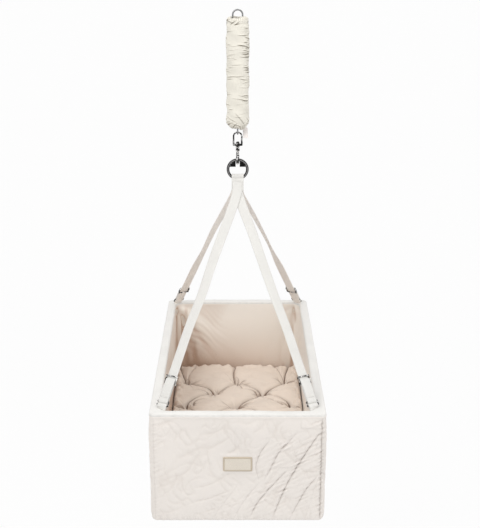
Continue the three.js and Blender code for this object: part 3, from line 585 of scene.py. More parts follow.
def wire_steel():
    """Drawn steel wire: bright, with fine lines along it and a little grime."""
    base = paint("steel")
    finish = Finish("wire_steel")
    u, v = finish.cloth()
    lines = finish.lines(u * 60, v * 1.5, 60.0, 4.0, 0.7)
    grime = finish.noise(finish.place(), 130.0, 4.0, 0.6)
    colours = finish.blend(grime.between(0.5, 0.85), base, tint(base, 0.55))
    finish.surface(base_color=colours, metallic=1.0, roughness=0.2 + lines * 0.16 + grime * 0.12)
    return finish.relief(lines, 0.03 * MM, 0.4)


def cast_metal(name, base, gloss, pits, ring_z=None):
    """Plated casting with painted reflections: dark patches with bright ones between, and shallow pits.

    A ring, whose middle is at the height ring_z, gets a painted highlight along a line round its outer
    side and painted dark reflection on its inner edge.
    """
    finish = Finish(name)
    place = finish.place()
    orange_peel = finish.noise(place, 420.0, 3.0)
    reflection_noise = finish.noise(place, 140.0, 3.0, 0.6)
    marks = finish.noise(place, 260.0, 5.0, 0.7, stretch=(1.0, 1.0, 4.0))
    painted_reflection = reflection_noise.between(0.49, 0.54)
    # On a ring the patches give way to a painted highlight line round its outer side and painted dark
    # reflection on its inner edge.
    if ring_z is not None:
        x, _, z = finish.axes(place)
        reach = (x * x + (z - ring_z) * (z - ring_z)) ** 0.5 / (1.0 * MM)
        painted_reflection = (1 - abs(reach - 25.2).between(0.5, 1.2)).most(painted_reflection * 0.12) * reach.between(21.5, 23.0)
    # Painted reflection: the colour runs from near black to bright across these patches.
    colours = finish.blend(painted_reflection, tint(base, 0.07), tint(base, 1.45))
    roughness = gloss + (1 - painted_reflection) * 0.2 + marks.between(0.6, 0.8) * 0.08
    finish.surface(base_color=colours, metallic=1.0, roughness=roughness)
    return finish.relief(orange_peel * pits + marks * 0.2, 0.05 * MM, 0.5)


def spring_wire():
    """Oiled spring wire, dark between bright draw lines."""
    base = (0.34, 0.34, 0.36)
    finish = Finish("spring_wire")
    u, v = finish.cloth()
    lines = finish.lines(u * 50, v, 90.0, 3.0)
    colours = finish.blend(lines, tint(base, 0.7), tint(base, 1.25))
    finish.surface(base_color=colours, metallic=1.0, roughness=0.28 + lines * 0.2)
    return finish.relief(lines, 0.03 * MM, 0.4)


def braided_cord():
    """Braided cord: two sets of strands that cross."""
    base = (0.80, 0.78, 0.74)
    finish = Finish("braided_cord")
    u, v = finish.cloth()
    strand = 2.2 * MM
    height = ridges(u + v, strand).most(ridges(u - v, strand))
    # Painted shade in the grooves between the strands.
    colours = finish.blend(height.between(0.3, 0.9), tint(base, 0.7), base)
    finish.surface(base_color=colours, roughness=0.85, sheen_weight=0.2)
    return finish.relief(height, 0.4 * MM, 0.8)


def plywood():
    """Bare board: long grain, growth bands and pores."""
    base = paint("board")
    finish = Finish("plywood")
    place = finish.place()
    grain = finish.noise(place, 12.0, 6.0, 0.65, stretch=(8.0, 0.6, 8.0))
    pores = finish.noise(place, 240.0, 2.0, 0.5, stretch=(1.0, 0.06, 1.0))
    colours = finish.blend(grain.between(0.3, 0.7), tint(base, 0.75), tint(base, 1.18))
    finish.surface(base_color=colours, roughness=0.6 + pores * 0.25)
    return finish.relief(grain * 0.6 + pores * 0.4, 0.2 * MM, 0.5)


def patch_finish():
    """Bare cloth patch: coarse weave inside, a darker turned edge."""
    base = paint("patch")
    finish = Finish("patch_cloth")
    u, v = finish.cloth()
    threads = weave(u, v, 0.7 * MM)
    edge = finish.value_of("edge")
    lint = finish.noise(finish.place(), 700.0, 3.0)
    # Painted shade in the grooves between threads, and painted light on their tops.
    base_colour = finish.blend(threads, tint(base, 0.86), tint(base, 1.05))
    base_colour = finish.blend(edge * 0.6, base_colour, (0.52, 0.41, 0.27))
    finish.surface(base_color=base_colour, roughness=0.8 + lint * 0.15, sheen_weight=0.2)
    return finish.relief(threads + lint * 0.4, 0.3 * MM, 0.7)


def thread_finish(name, base):
    """Sewing thread: two twisted strands."""
    finish = Finish(name)
    twist = finish.noise(finish.place(), 1600.0, 2.0)
    colours = finish.blend(twist, tint(base, 0.82), tint(base, 1.08))
    finish.surface(base_color=colours, roughness=0.7, sheen_weight=0.3)
    return finish.relief(twist, 0.08 * MM, 0.6)


def sewn_cotton(name, base, line_colour, drawn, dusk, wide):
    """Brushed cotton with its folds in painted shade: fine weave, lint, a thin dark line in a soft painted
    shadow along folds and sewn channels, and darker hollows.

    drawn and dusk say how strong the line and its shadow are, and wide is the line's half width in mm.
    """
    finish = Finish(name)
    place = finish.place()
    threads = woven(finish, place, 0.55 * MM)
    lint = finish.noise(place, 640.0, 3.0, 0.6)
    gap, seam = abs(finish.value_of("gap")), finish.value_of("seam")
    # Painted shade: the line and its shadow darken the cloth along folds and channels, and crease darkens the
    # hollows.
    line = 1 - (gap / (wide * MM)).between(0.35, 1.4)
    shadow = 1 - (gap / (wide * MM)).between(0.5, 4.5)
    hollow = shaded(base, (0.52, 0.41, 0.32))
    base_colour = finish.blend(finish.value_of("crease"), lump(finish, base, place, 9.0, 0.02), hollow)
    base_colour = finish.blend(shadow * seam * dusk, base_colour, tint(base, 0.72))
    base_colour = finish.blend(line * seam * drawn, base_colour, line_colour)
    soft_surface(finish, base, base_colour, lint, 1.05)
    height = threads * 0.16 + lint * 0.16 + (1 - line * seam) * 0.7
    return finish.relief(height, 0.8 * MM, 0.5)


# Places taken from the frame


def low(node):
    """The corner of a solid's box with the lowest coordinates."""
    return np.array(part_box(node)[0])


def high(node):
    """The corner of a solid's box with the highest coordinates."""
    return np.array(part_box(node)[1])


def corners_of(node):
    """The lowest and the highest corner of a solid's box."""
    return low(node), high(node)


def top_and_bottom(node):
    """The heights of a solid's top and bottom."""
    return high(node)[2], low(node)[2]


def middle_of(node):
    """The middle of a solid's box."""
    return (low(node) + high(node)) / 2


def node_points(node):
    """Every corner of a solid, as an array."""
    mesh = frame["nodes"][node].data
    points = np.empty(len(mesh.vertices) * 3)
    mesh.vertices.foreach_get("co", points)
    return points.reshape(-1, 3)


JOINTS = {joint["name"]: joint for joint in frame["joints"]}


def bent_wire(centre, across, up, radius, leg, steps=40):
    """Centre line of a U: a leg, half a circle over the top, and the other leg."""
    centre, across, up = (np.asarray(v, float) for v in (centre, across, up))
    angle = np.linspace(math.pi, 0, steps)[:, None]
    arc = centre + radius * spun(angle, across, up)
    drop = np.linspace(leg, leg / 8, 8)[:, None]
    return np.vstack([arc[0] - drop * up, arc, arc[-1] - drop[::-1] * up])


def plate(name, outline, thickness, edge, centre=(0, 0, 0), directions=(RIGHT, UP, BACK)):
    """A flat plate with softened edges: its outline, drawn in by the edge at both faces."""
    outline = np.asarray(outline, float)
    way = np.roll(outline, -1, axis=0) - np.roll(outline, 1, axis=0)
    out = unit(np.stack([way[:, 1], -way[:, 0]], axis=1))
    turn = np.linspace(-math.pi / 2, math.pi / 2, 7)
    inset = edge * (1 - np.cos(turn))
    height = np.where(turn < 0, -1, 1) * (thickness / 2 - edge) + edge * np.sin(turn)
    flat = outline[None] - inset[:, None, None] * out[None]
    a, b, c = (np.asarray(d, float) for d in directions)
    grid = np.asarray(centre, float) + flat[..., :1] * a + flat[..., 1:] * b
    grid = grid + height[:, None, None] * c
    return skin(name, grid)


# Hooks, spring, swivel, snap hook and ring

WIRE = 4 * MM  # thickness of the bent wire hooks
WIRE_SEAT = 3 * MM  # how deep their legs stand in the plugs


def build_wire_hook(name, node, body, across, square, up):
    """A U of bent wire, its arch at the top or, with up below 0, at the bottom, its legs in a plug."""
    arch, foot = (high(node), low(node)) if up > 0 else (low(node), high(node))
    radius = float(high(node) @ across) - WIRE / 2
    centre = (0, 0, arch[2] - up * WIRE / 2 - up * radius)
    path = bent_wire(centre, across, up * UP, radius, up * (centre[2] - foot[2]) + WIRE_SEAT)
    piece = wire_piece(name, path, WIRE / 2, square, 20)
    return finish_piece(piece, wire_steel(), body, node)


def build_plug(name, node, body, side, material):
    """A spring plug: a flange with eased edges, a grooved stem and the socket for the cord."""
    top, bottom = top_and_bottom(node)
    flange = high(node)[0] - 0.2 * MM
    stem, bore, edge = 12.4 * MM, 3.4 * MM, 0.8 * MM
    face = top if side > 0 else bottom
    end = bottom if side > 0 else top
    turns = np.linspace(0, 6 * TURN, 73)
    groove = stem - 0.5 * MM * (0.5 - 0.5 * np.cos(turns))
    down = np.linspace(4.2 * MM, abs(face - end) - edge, 73)
    profile = [(0, 0), (flange - edge, 0), (flange - 0.3 * edge, 0.3 * edge), (flange, edge)]
    profile += [(flange, 4 * MM - edge), (flange - edge, 4 * MM), (stem, 4 * MM)]
    profile += list(zip(groove, down))
    profile += [(stem - edge, abs(face - end)), (bore, abs(face - end)), (bore, 10 * MM), (0, 10 * MM)]
    piece = lathe(name, profile, (0, 0, face), -side * UP, 40)
    return finish_piece(piece, material, body, node)


def build_coil():
    """A helix of round wire between the two plugs, closed coils at rest."""
    turns, steps = 45, 22
    top, bottom = top_and_bottom("spring_coil")
    wire = 2.3 * MM
    radius = high("spring_coil")[0] - 2.4 * MM
    angle = np.linspace(0, turns * TURN, turns * steps + 1)
    drop = np.linspace(top - wire, bottom + wire, len(angle))
    path = np.stack([radius * np.cos(angle), radius * np.sin(angle), drop], axis=1)
    side = np.stack([np.cos(angle), np.sin(angle), 0 * angle], axis=1)
    piece = wire_piece("extension_spring", path, wire, side, 8)
    finish_piece(piece, spring_wire(), None, "spring_coil")
    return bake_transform(piece)


def build_cord():
    """Slack cord down the middle of the spring: a swirl that fades to the axis at both ends."""
    top, bottom = top_and_bottom("safety_cord")
    ends, radius = 22 * MM, 3 * MM
    share = np.linspace(0, 1, 161)
    swirl = (high("safety_cord")[0] - radius) * smooth(0, 0.2, share) * smooth(0, 0.2, 1 - share)
    angle = 5 * TURN * share
    drop = top - ends - (top - bottom - 2 * ends) * share
    waves = np.stack([swirl * np.cos(angle), swirl * np.sin(angle), drop], axis=1)
    path = np.vstack([[0, 0, top], [0, 0, top - ends / 2], waves, [0, 0, bottom + ends / 2], [0, 0, bottom]])
    piece = wire_piece("safety_cord_braid", path, radius, RIGHT, 12)
    finish_piece(piece, braided_cord(), None, "safety_cord")
    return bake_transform(piece)


def build_bow(material):
    """The swivel's bow: a wire arch on a cross bar, with a bored boss below."""
    top, bottom = high("swivel_bow"), low("swivel_bow")
    wire, bar = 4 * MM, 5 * MM
    boss_top = bottom[2] + 11 * MM
    bar_z = boss_top - 3 * MM - bar / 2
    radius = top[0] - wire / 2
    centre = (0, 0, top[2] - wire / 2 - radius)
    path = bent_wire(centre, RIGHT, UP, radius, centre[2] - bar_z)
    thick = np.full(len(path), wire / 2)
    thick[:8] += 0.5 * MM * np.linspace(1, 0, 8)
    thick[-8:] += 0.5 * MM * np.linspace(0, 1, 8)
    arch = wire_piece("swivel_bow_arch", path, thick, BACK, 20)
    cross = rounded_block("swivel_bow_bar", (0, 0, bar_z), (2 * top[0], 8 * MM, bar), 5)
    outer, bore, edge = 5 * MM, 2.9 * MM, 0.9 * MM
    height = boss_top - bottom[2]
    profile = [(bore, 0), (outer - edge, 0), (outer, edge), (outer, height - edge)]
    profile += [(outer - edge, height), (bore, height)]
    boss = lathe("swivel_bow_boss", profile, (0, 0, bottom[2]), sides=40, ring=True)
    piece = fuse("swivel_bow_casting", [arch, cross, boss])
    return finish_piece(piece, material, "bow", "swivel_bow")


def build_pin(material):
    """The swivel's pin: a domed head above the bow's boss and a shank into the hook's collar."""
    top, bottom = top_and_bottom("swivel_pin")
    head, shank = high("swivel_pin")[0], 2.5 * MM
    neck = top - 3 * MM
    dome = np.linspace(0, math.pi / 2, 8)
    profile = [(0, bottom), (shank - 0.4 * MM, bottom), (shank, bottom + 0.4 * MM), (shank, neck)]
    profile += [(head, neck)]
    profile += [(head * math.cos(a), neck + 1.2 * MM + 1.8 * MM * math.sin(a)) for a in dome]
    piece = lathe("swivel_rivet", profile, (0, 0, 0))
    return finish_piece(piece, material, "hook", "swivel_pin")


def build_snap_hook(material):
    """The snap hook: a nose, a round bend and a back that runs up into a slotted head and collar."""
    top, bottom = top_and_bottom("snap_hook")
    front, back = low("snap_hook")[1], high("snap_hook")[1]
    half = 4 * MM
    radius = (back - front) / 2 - half
    centre_z = bottom + half + radius
    nose = centre_z + 9.5 * MM
    collar_foot = top - 10 * MM
    head_top, head_foot = top - 8 * MM, top - 16 * MM
    head_front, slot_back = -10.2 * MM, 2.2 * MM
    head_back = head_front + 17 * MM
    shank = np.linspace(nose, centre_z, 8, endpoint=False)
    bend = np.linspace(math.pi, TURN, 40)
    rise = np.linspace(0, 1, 16)[1:]
    y = np.concatenate([np.full(8, -radius), radius * np.cos(bend)])
    z = np.concatenate([shank, centre_z + radius * np.sin(bend)])
    y = np.concatenate([y, radius - (radius - 3.4 * MM) * smooth(0.25, 1.15, rise)])
    z = np.concatenate([z, centre_z + (head_foot + 5 * MM - centre_z) * rise])
    path = np.stack([0 * y, y, z], axis=1)
    run = run_of(path)
    thick = half * (0.86 + 0.14 * smooth(0, 12 * MM, run))
    thick[:4] *= np.array([0.55, 0.85, 0.96, 1.0])
    body = wire_piece("snap_hook_bend", path, thick, RIGHT, 24)
    bridge_z, cheek = top - 10 * MM, 1.5 * MM
    head_middle, head_tall = (head_top + head_foot) / 2, head_top - head_foot
    cheek_size = (cheek, slot_back - head_front + 1.5 * MM, head_tall)
    blocks = (
        ((0, (slot_back + head_back) / 2, head_middle), (2 * half, head_back - slot_back, head_tall), 4),
        (
            (0, (head_front + head_back) / 2, (head_top + bridge_z) / 2 - 0.2 * MM),
            (2 * half, head_back - head_front, head_top - bridge_z + 0.8 * MM),
            4,
        ),
        ((cheek / 2 - half, (head_front + slot_back) / 2, head_middle), cheek_size, 5),
        ((half - cheek / 2, (head_front + slot_back) / 2, head_middle), cheek_size, 5),
    )
    head = [rounded_block("snap_hook_block", *block) for block in blocks]
    outer, bore = 5 * MM, 2.8 * MM
    height = top - collar_foot
    profile = [(bore, 0), (outer - 0.6 * MM, 0), (outer, 0.6 * MM)]
    profile += [(outer, 0.42 * height), (outer - 0.7 * MM, 0.5 * height), (outer, 0.58 * height)]
    profile += [(outer, height - 0.8 * MM), (outer - 0.8 * MM, height), (bore, height)]
    collar = lathe("snap_hook_collar", profile, (0, 0, collar_foot), sides=40, ring=True)
    piece = fuse("snap_hook_casting", [body, *head, collar])
    return finish_piece(piece, material, "hook", "snap_hook")


def build_gate(material, steel, spring):
    """The hook's gate on its pin, and the leaf that presses it shut."""
    pivot = np.array(JOINTS["gate_open"]["pos_m"])
    foot = np.array([0, -3.95 * MM, low("hook_gate")[2] + 0.8 * MM])
    way = unit(foot - pivot)
    facing = np.cross(way, RIGHT)
    span = np.linalg.norm(foot - pivot)
    lever = rounded_block(
        "hook_gate_lever",
        pivot + way * (span - 2.4 * MM) / 2,
        (2 * high("hook_gate")[0], 4 * MM, span + 2.4 * MM),
        5,
        (RIGHT, facing, way),
    )
    finish_piece(lever, material, "gate", "hook_gate")
    half = high("gate_pin")[0]
    reach = 1.2 * MM
    profile = [(0, -half), (reach - 0.2 * MM, -half), (reach + 0.25 * MM, 0.3 * MM - half)]
    profile += [(reach, 0.6 * MM - half), (reach, half - 0.6 * MM), (reach + 0.25 * MM, half - 0.3 * MM)]
    profile += [(reach - 0.2 * MM, half), (0, half)]
    pin = lathe("hook_gate_pin", profile, pivot, RIGHT, 24)
    finish_piece(pin, steel, "hook", "gate_pin")
    leaf_low, leaf_high = corners_of("gate_spring")
    share = np.linspace(0, 1, 24)
    y = leaf_high[1] - 0.3 * MM - (leaf_high[1] - leaf_low[1] - 0.6 * MM) * smooth(0.3, 1.1, share)
    path = np.stack([0 * y, y, leaf_high[2] + (leaf_low[2] - leaf_high[2]) * share], axis=1)
    facing = np.cross(tangents(path), RIGHT)
    leaf = band("hook_gate_leaf", path, np.tile(RIGHT, (24, 1)), facing, 3 * MM, 0.5 * MM, 16)
    finish_piece(leaf, spring, None, "gate_spring")
    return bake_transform(leaf)


def build_ring(material):
    """The welded ring, with two dark wedges that keep the hook at its top."""
    box_low, box_high = corners_of("hanger_ring")
    thick = box_high[1]
    radius = box_high[0] - thick
    centre = np.array([0, 0, (box_low[2] + box_high[2]) / 2])
    angle = np.linspace(0, TURN, 120, endpoint=False)[:, None]
    path = centre + radius * spun(angle, RIGHT, UP)
    piece = wire_piece("ring", path, thick, BACK, 28, close=True)
    finish_piece(piece, material, "cradle", "hanger_ring")
    inner = radius - thick - 0.2 * MM
    notch, floor = 5.2 * MM, 6.5 * MM
    arc = np.linspace(math.asin(floor / inner), math.acos(notch / inner), 24)
    edge = np.stack([inner * np.cos(arc), inner * np.sin(arc)], axis=1)
    foot, flank = [(notch + edge[0, 0]) / 2, floor], [notch, (floor + edge[-1, 1]) / 2]
    outline = np.vstack([[notch, floor], foot, edge, flank])
    for side, word in ((-1, "left"), (1, "right")):
        mirrored = (outline * (side, 1))[::side]
        wedge = plate(f"ring_insert_{word}", mirrored, 3 * MM, 0.6 * MM, centre)
        finish_piece(wedge, material, "cradle", f"ring_wedge_{word}")
    return piece


# Webbing and buckles


SIDES = {"front_left": (-1, -1), "front_right": (1, -1), "rear_left": (-1, 1), "rear_right": (1, 1)}
BAR = 3 * MM  # wire of the anchor rings
SLIDER_BAR = 2.4 * MM
SLIDER_LIFT = 2.2 * MM  # from a slider's middle to its bars, along its face
ABOVE_SLIDER = (0.17, 0.3)  # where a strap starts to hang freely: from and to this far up its run


def towards(direction, axis):
    """A direction of length 1, turned round if it points to the lower side of an axis."""
    way = unit(direction)
    return way * math.copysign(1, way[axis])


def fan_of(end):
    """Down the middle of a pair of straps, and square off their plane: sum and cross of both runs."""
    left, right = (np.array(JOINTS[f"slider_{end}_{side}_slide"]["axis"]) for side in ("left", "right"))
    return unit(-left - right), towards(np.cross(left, right), 2)


def strap_line(corner):
    """One strap's run, read from its solids: where it starts, its way up, across it and off its face."""
    up = unit(JOINTS[f"slider_{corner}_slide"]["axis"])
    across = towards(np.cross(up, UP), 0)
    face = towards(np.cross(across, up), 2)
    centre = middle_of(f"slider_{corner}")
    points = node_points(f"strap_{corner}") - centre
    top = float((points @ up).max())
    flat = np.abs(points @ up) < 170 * MM
    lift = float(np.median((points @ face)[flat & (points @ up > 20 * MM)]))
    ring_points = node_points(f"anchor_ring_{corner}") - centre
    upper_bar = float((ring_points @ up).max()) - BAR / 2
    lower_bar = float((ring_points @ up).min()) + BAR / 2
    bar_lift = float(np.median(ring_points @ face))
    top_across = towards(np.cross(up, fan_of(corner.split("_")[0])[1]), 0)
    return {
        "up": up,
        "across": across,
        "face": face,
        "line": centre + lift * face,
        "centre": centre,
        "top": top,
        "bar": centre + upper_bar * up + bar_lift * face,
        "lower_bar": centre + lower_bar * up + bar_lift * face,
        "wrap": bar_lift - lift,
        "top_across": top_across,
        "top_face": towards(np.cross(top_across, up), 2),
    }


def turned(centre, first, second, radius, start, end, steps):
    """Points and outward directions round part of a circle, from the first direction to the second."""
    angle = np.linspace(start, end, steps)[:, None]
    out = spun(angle, first, second)
    return centre + radius * out, out


def slerped(first, second, share):
    """Directions that swing from one to another as share goes from 0 to 1."""
    share = share[:, None]
    return unit((1 - share) * first + share * second)


def build_strap(corner, line, material):
    """From a short tail on the outer face, round the anchor ring and up to the hanging ring."""
    up, across, face, bar, radius = (line[key] for key in ("up", "across", "face", "bar", "wrap"))
    tail = np.linspace(8 * MM, 0.5 * MM, 6)[:, None] * up + bar + radius * face
    bend, bend_out = turned(bar, face, -up, radius, 0, math.pi, 18)
    bend -= 2.6 * MM * np.sin(np.linspace(0, math.pi, 18))[:, None] * up
    foot = bar - radius * face
    rise = float((line["line"] - foot) @ up)
    length_up = line["top"] + rise
    run = np.linspace(0, 1, 200)[1:] * length_up
    free = smooth(*ABOVE_SLIDER, run)
    sag = -1.2 * MM * np.sin(math.pi * run / length_up) ** 2 * free
    swing = smooth(210 * MM, 560 * MM, run)
    straight_across = slerped(across, line["top_across"], swing)
    straight_face = slerped(face, line["top_face"], swing)
    waver = 0.6 * MM * np.sin(run / (47 * MM) + SIDES[corner][0]) * smooth(0.17, 0.4, run)
    straight = foot + run[:, None] * up + (sag + waver)[:, None] * straight_face
    straight += (0.5 * MM * np.sin(run / (33 * MM)) * free)[:, None] * straight_across
    drop = length_up - run
    drawn = -SIDES[corner][0] * 9 * MM * (drop / (55 * MM)) * np.exp(1 - drop / (55 * MM))
    drawn *= smooth(0, 25 * MM, drop) * smooth(0.2, 0.45, run)
    stacked = SIDES[corner][0] * 0.8 * MM * np.exp(-(((drop - 60 * MM) / (70 * MM)) ** 2))
    straight += drawn[:, None] * RIGHT - stacked[:, None] * straight_face
    if SIDES[corner][1] < 0:
        bow = -SIDES[corner][0] * 4 * MM * free * smooth(0.02, 0.3, drop)
        straight += bow[:, None] * straight_across
    else:
        most = -0.49 * SIDES[corner][0] - 0.11
        twist = (most * smooth(0.165, 0.30, run) * smooth(0.015, 0.06, drop))[:, None]
        turned_across = spun(twist, straight_across, straight_face)
        straight_face = spun(twist, straight_face, -straight_across)
        straight_across = turned_across
    middle = np.vstack([tail, bend, straight])
    facing = np.vstack([np.tile(face, (6, 1)), bend_out, -straight_face])
    crossing = np.vstack([np.tile(across, (24, 1)), straight_across])
    cup = np.concatenate([np.zeros(24), 0.5 * MM * free])
    piece = band(f"strap_{corner}_webbing", middle, crossing, facing, WEB, sizes().web_thickness, 24, cup)
    return finish_piece(piece, material, "cradle", f"strap_{corner}")


def build_return(corner, line, material, thread):
    """The layer from the anchor ring up to the slider, folded round its middle bar and sewn."""
    up, across, face, centre, bar = (line[key] for key in ("up", "across", "face", "centre", "bar"))
    middle_bar = centre + SLIDER_LIFT * face
    radius = SLIDER_BAR / 2 + 1.0 * MM
    start = bar + line["wrap"] * face + 8.3 * MM * up
    bend, bend_out = turned(middle_bar, face, up, radius, 0, 0.95 * math.pi, 18)
    share = np.linspace(0, 1, 40)[:-1]
    puff = 1.1 * MM * np.sin(math.pi * share) ** 2
    rise = start + share[:, None] * (bend[0] - start) + puff[:, None] * face
    middle = np.vstack([rise, bend])
    facing = np.vstack([np.tile(face, (len(rise), 1)), bend_out])
    crossing = np.tile(across, (len(middle), 1))
    layer = band("return_layer", middle, crossing, facing, WEB, sizes().web_thickness, 24)
    layer.data.materials.append(material)
    seam = [
        stitch_row(start + distance * up + 0.9 * MM * face, across, face, WEB - 5 * MM, thread)
        for distance in (3 * MM, 7 * MM)
    ]
    piece = fuse(f"strap_return_{corner}_webbing", [layer, *seam])
    finish_piece(piece, None, None, f"strap_return_{corner}")
    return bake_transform(piece)


def stitch_row(middle, along, facing, reach, material, thick=0.45 * MM):
    """A straight row of sewn stitches: short loops of thread that dip into the cloth at both ends."""
    pitch = sizes().stitch_length
    count = max(2, int(reach / pitch))
    starts = (np.arange(count) + 0.5) * reach / count - reach / 2
    places = middle + starts[:, None] * along
    return stitches(places, np.tile(along, (count, 1)), facing, pitch, material, thick)


def stitches(points, ways, facing, pitch, material, thick):
    """One stitch at each point: a bowed thread of 6 sections with 6 sides, as one piece."""
    facing = np.broadcast_to(np.asarray(facing, float), points.shape)
    share = np.linspace(-1, 1, 6)
    bow = thick * (0.8 * (1 - share**2) - 0.35)
    reach = 0.40 * pitch * share
    slim = thick / 2 * np.sqrt(np.clip(1.05 - share**4, 0.05, 1))
    angle = np.linspace(0, TURN, 6, endpoint=False)
    side = np.cross(ways, facing)
    centre = points[:, None] + reach[None, :, None] * ways[:, None] + bow[None, :, None] * facing[:, None]
    ring = spun(angle[:, None], side[:, None, None], facing[:, None, None])
    grid = centre[:, :, None] + slim[None, :, None, None] * ring
    count = len(points)
    block = grid_faces(6, 6, True)
    quads = (np.arange(count)[:, None, None] * 36 + block[None]).reshape(-1, 4)
    ends = np.stack([np.arange(5, -1, -1), np.arange(30, 36)])
    caps = (np.arange(count)[:, None, None] * 36 + ends[None]).reshape(-1, 6)
    if is_inside_out(grid[:1], block, ends.tolist()):
        quads, caps = quads[:, ::-1], caps[:, ::-1]
    piece = shaped("stitches", grid, quads.tolist() + caps.tolist())
    piece.data.materials.append(material)
    return piece


def build_slider(corner, line, material):
    """A slide buckle: two side plates, an upper and a lower bar, and a middle bar under the fold."""
    up, across, face, centre = (line[key] for key in ("up", "across", "face", "centre"))
    solid = node_points(f"slider_{corner}") - centre
    reach = float(np.abs(solid @ across).max())
    half = float(np.abs(solid @ up).max())
    lift, end, rounding = SLIDER_LIFT, half - SLIDER_BAR / 2, 0.45 * MM
    bars, plates, knobs = [], [], []
    for run, height, thick in ((end, lift, 1.25), (0, lift, 1.0), (-end, -lift, 1.0)):
        share = np.linspace(-1, 1, 30)
        bow = 0.5 * MM * (1 - share**2) if run > 0 else 0 * share
        path = centre + up * run + face * height + (share * (reach - 0.3 * MM))[:, None] * across
        path = path + bow[:, None] * face
        radius = SLIDER_BAR / 2 * thick * np.ones(30)
        radius[[0, -1]] -= rounding
        bars.append(wire_piece("slider_bar", path, radius, up, 16))
    outline_x, outline_y = superellipse(36, 3.2)
    outline = np.stack([outline_x * half, outline_y * (lift + SLIDER_BAR / 2)], axis=1)
    for side in (-1, 1):
        spot = centre + side * (reach - 1.2 * MM) * across
        plates.append(plate("slider_side", outline, 2.4 * MM, 0.5 * MM, spot, (up, face, across)))
    for side in (-1, 1):
        for run, height in ((0, lift), (-end, -lift), (end, lift)):
            spot = centre + up * run + face * height + side * (reach - 0.2 * MM) * across
            size = (3.4 * MM, 3.4 * MM, 1.6 * MM)
            knobs.append(rounded_block("slider_knob", spot, size, 3, (up, face, across), 16))
    piece = fuse(f"slider_{corner}_buckle", [*bars, *plates, *knobs])
    return finish_piece(piece, material, f"slider_{corner}", f"slider_{corner}")


def build_anchor_ring(corner, line, material):
    """A rectangle of round wire with bent corners, in the strap's plane."""
    up, across, face, bar, lower_bar = (line[key] for key in ("up", "across", "face", "bar", "lower_bar"))
    half = float(np.abs((node_points(f"anchor_ring_{corner}") - bar) @ across).max()) - BAR / 2
    height = float(np.linalg.norm(bar - lower_bar)) / 2
    centre = (bar + lower_bar) / 2
    corner_radius = 2.6 * MM
    quarter = np.linspace(0, math.pi / 2, 9)
    x, y = [], []
    for k, (sx, sy) in enumerate(((1, 1), (-1, 1), (-1, -1), (1, -1))):
        angle = quarter + k * math.pi / 2
        x.append(sx * (half - corner_radius) + corner_radius * np.cos(angle))
        y.append(sy * (height - corner_radius) + corner_radius * np.sin(angle))
    x, y = np.concatenate(x), np.concatenate(y)
    path = centre + x[:, None] * across + y[:, None] * up
    piece = wire_piece(f"anchor_ring_{corner}_wire", path, BAR / 2, face, 18, close=True)
    return finish_piece(piece, material, "cradle", f"anchor_ring_{corner}")


def build_tab(corner, line, material, thread):
    """The corner tab: webbing from inside the wall, over the ring's lower bar and back down."""
    side_x, side_y = SIDES[corner]
    up, face, high_across, bar = (line[key] for key in ("up", "face", "across", "lower_bar"))
    radius = abs(line["wrap"])
    points = node_points(f"anchor_tab_{corner}")
    bottom = points[:, 2].min()
    tail = points[points[:, 2] < bottom + 1 * MM].mean(0)
    low_across = unit(np.array([1.0, -side_x * side_y, 0.0]))
    outer = unit(np.array([side_x, side_y, 0.0]))
    rim = np.array([tail[0], tail[1], high("rim_band")[2]])
    neck = bar - radius * up
    offset = 0.85 * MM
    share = np.linspace(0, 1, 22)
    bend = smooth(0, 1, np.linspace(0, 1, 12))
    rise = rim + (neck - rim) * np.linspace(0, 1, 13)[1:, None]
    spine = np.vstack([tail + (rim - tail) * share[:, None], rise])
    swing = np.concatenate([np.zeros(22), bend])
    crossing = slerped(low_across, high_across, swing)
    facing = slerped(outer, face, swing)
    spread = offset + (radius - offset) * swing
    front = spine + spread[:, None] * facing
    rear = spine - spread[:, None] * facing
    fold, fold_out = turned(bar, face, up, radius, 0, math.pi, 18)
    fold += 2.9 * MM * np.sin(np.linspace(0, math.pi, 18))[:, None] * up
    middle = np.vstack([front, fold, rear[::-1]])
    out = np.vstack([facing, fold_out, -facing[::-1]])
    across = np.vstack([crossing, np.tile(high_across, (18, 1)), crossing[::-1]])
    layer = band("tab_layer", middle, across, out, WEB, 1.4 * MM, 24)
    layer.data.materials.append(material)
    row = rim + 0.35 * (neck - rim)
    seams = [
        stitch_row(row + side * (offset + 1.0 * MM) * outer, low_across, side * outer, WEB - 6 * MM, thread)
        for side in (-1, 1)
    ]
    piece = fuse(f"corner_tab_{corner}_webbing", [layer, *seams])
    return finish_piece(piece, None, "cradle", f"anchor_tab_{corner}")


def eased(points, spacing, window):
    """A line of points set evenly along its run, then averaged over a window to round its corners."""
    reach = run_of(points[:, :3])
    even = np.linspace(0, reach[-1], int(reach[-1] / spacing) + 1)
    dense = np.stack([np.interp(even, reach, points[:, k]) for k in range(points.shape[1])], axis=1)
    ends = np.vstack([dense[:1]] * window + [dense] + [dense[-1:]] * window)
    mirrored = ends.copy()
    mirrored[:window] = 2 * dense[0] - dense[1 : window + 1][::-1]
    mirrored[-window:] = 2 * dense[-1] - dense[-window - 1 : -1][::-1]
    total = np.cumsum(np.vstack([np.zeros((1, points.shape[1])), mirrored]), axis=0)
    span = 2 * window + 1
    return (total[span:] - total[:-span]) / span


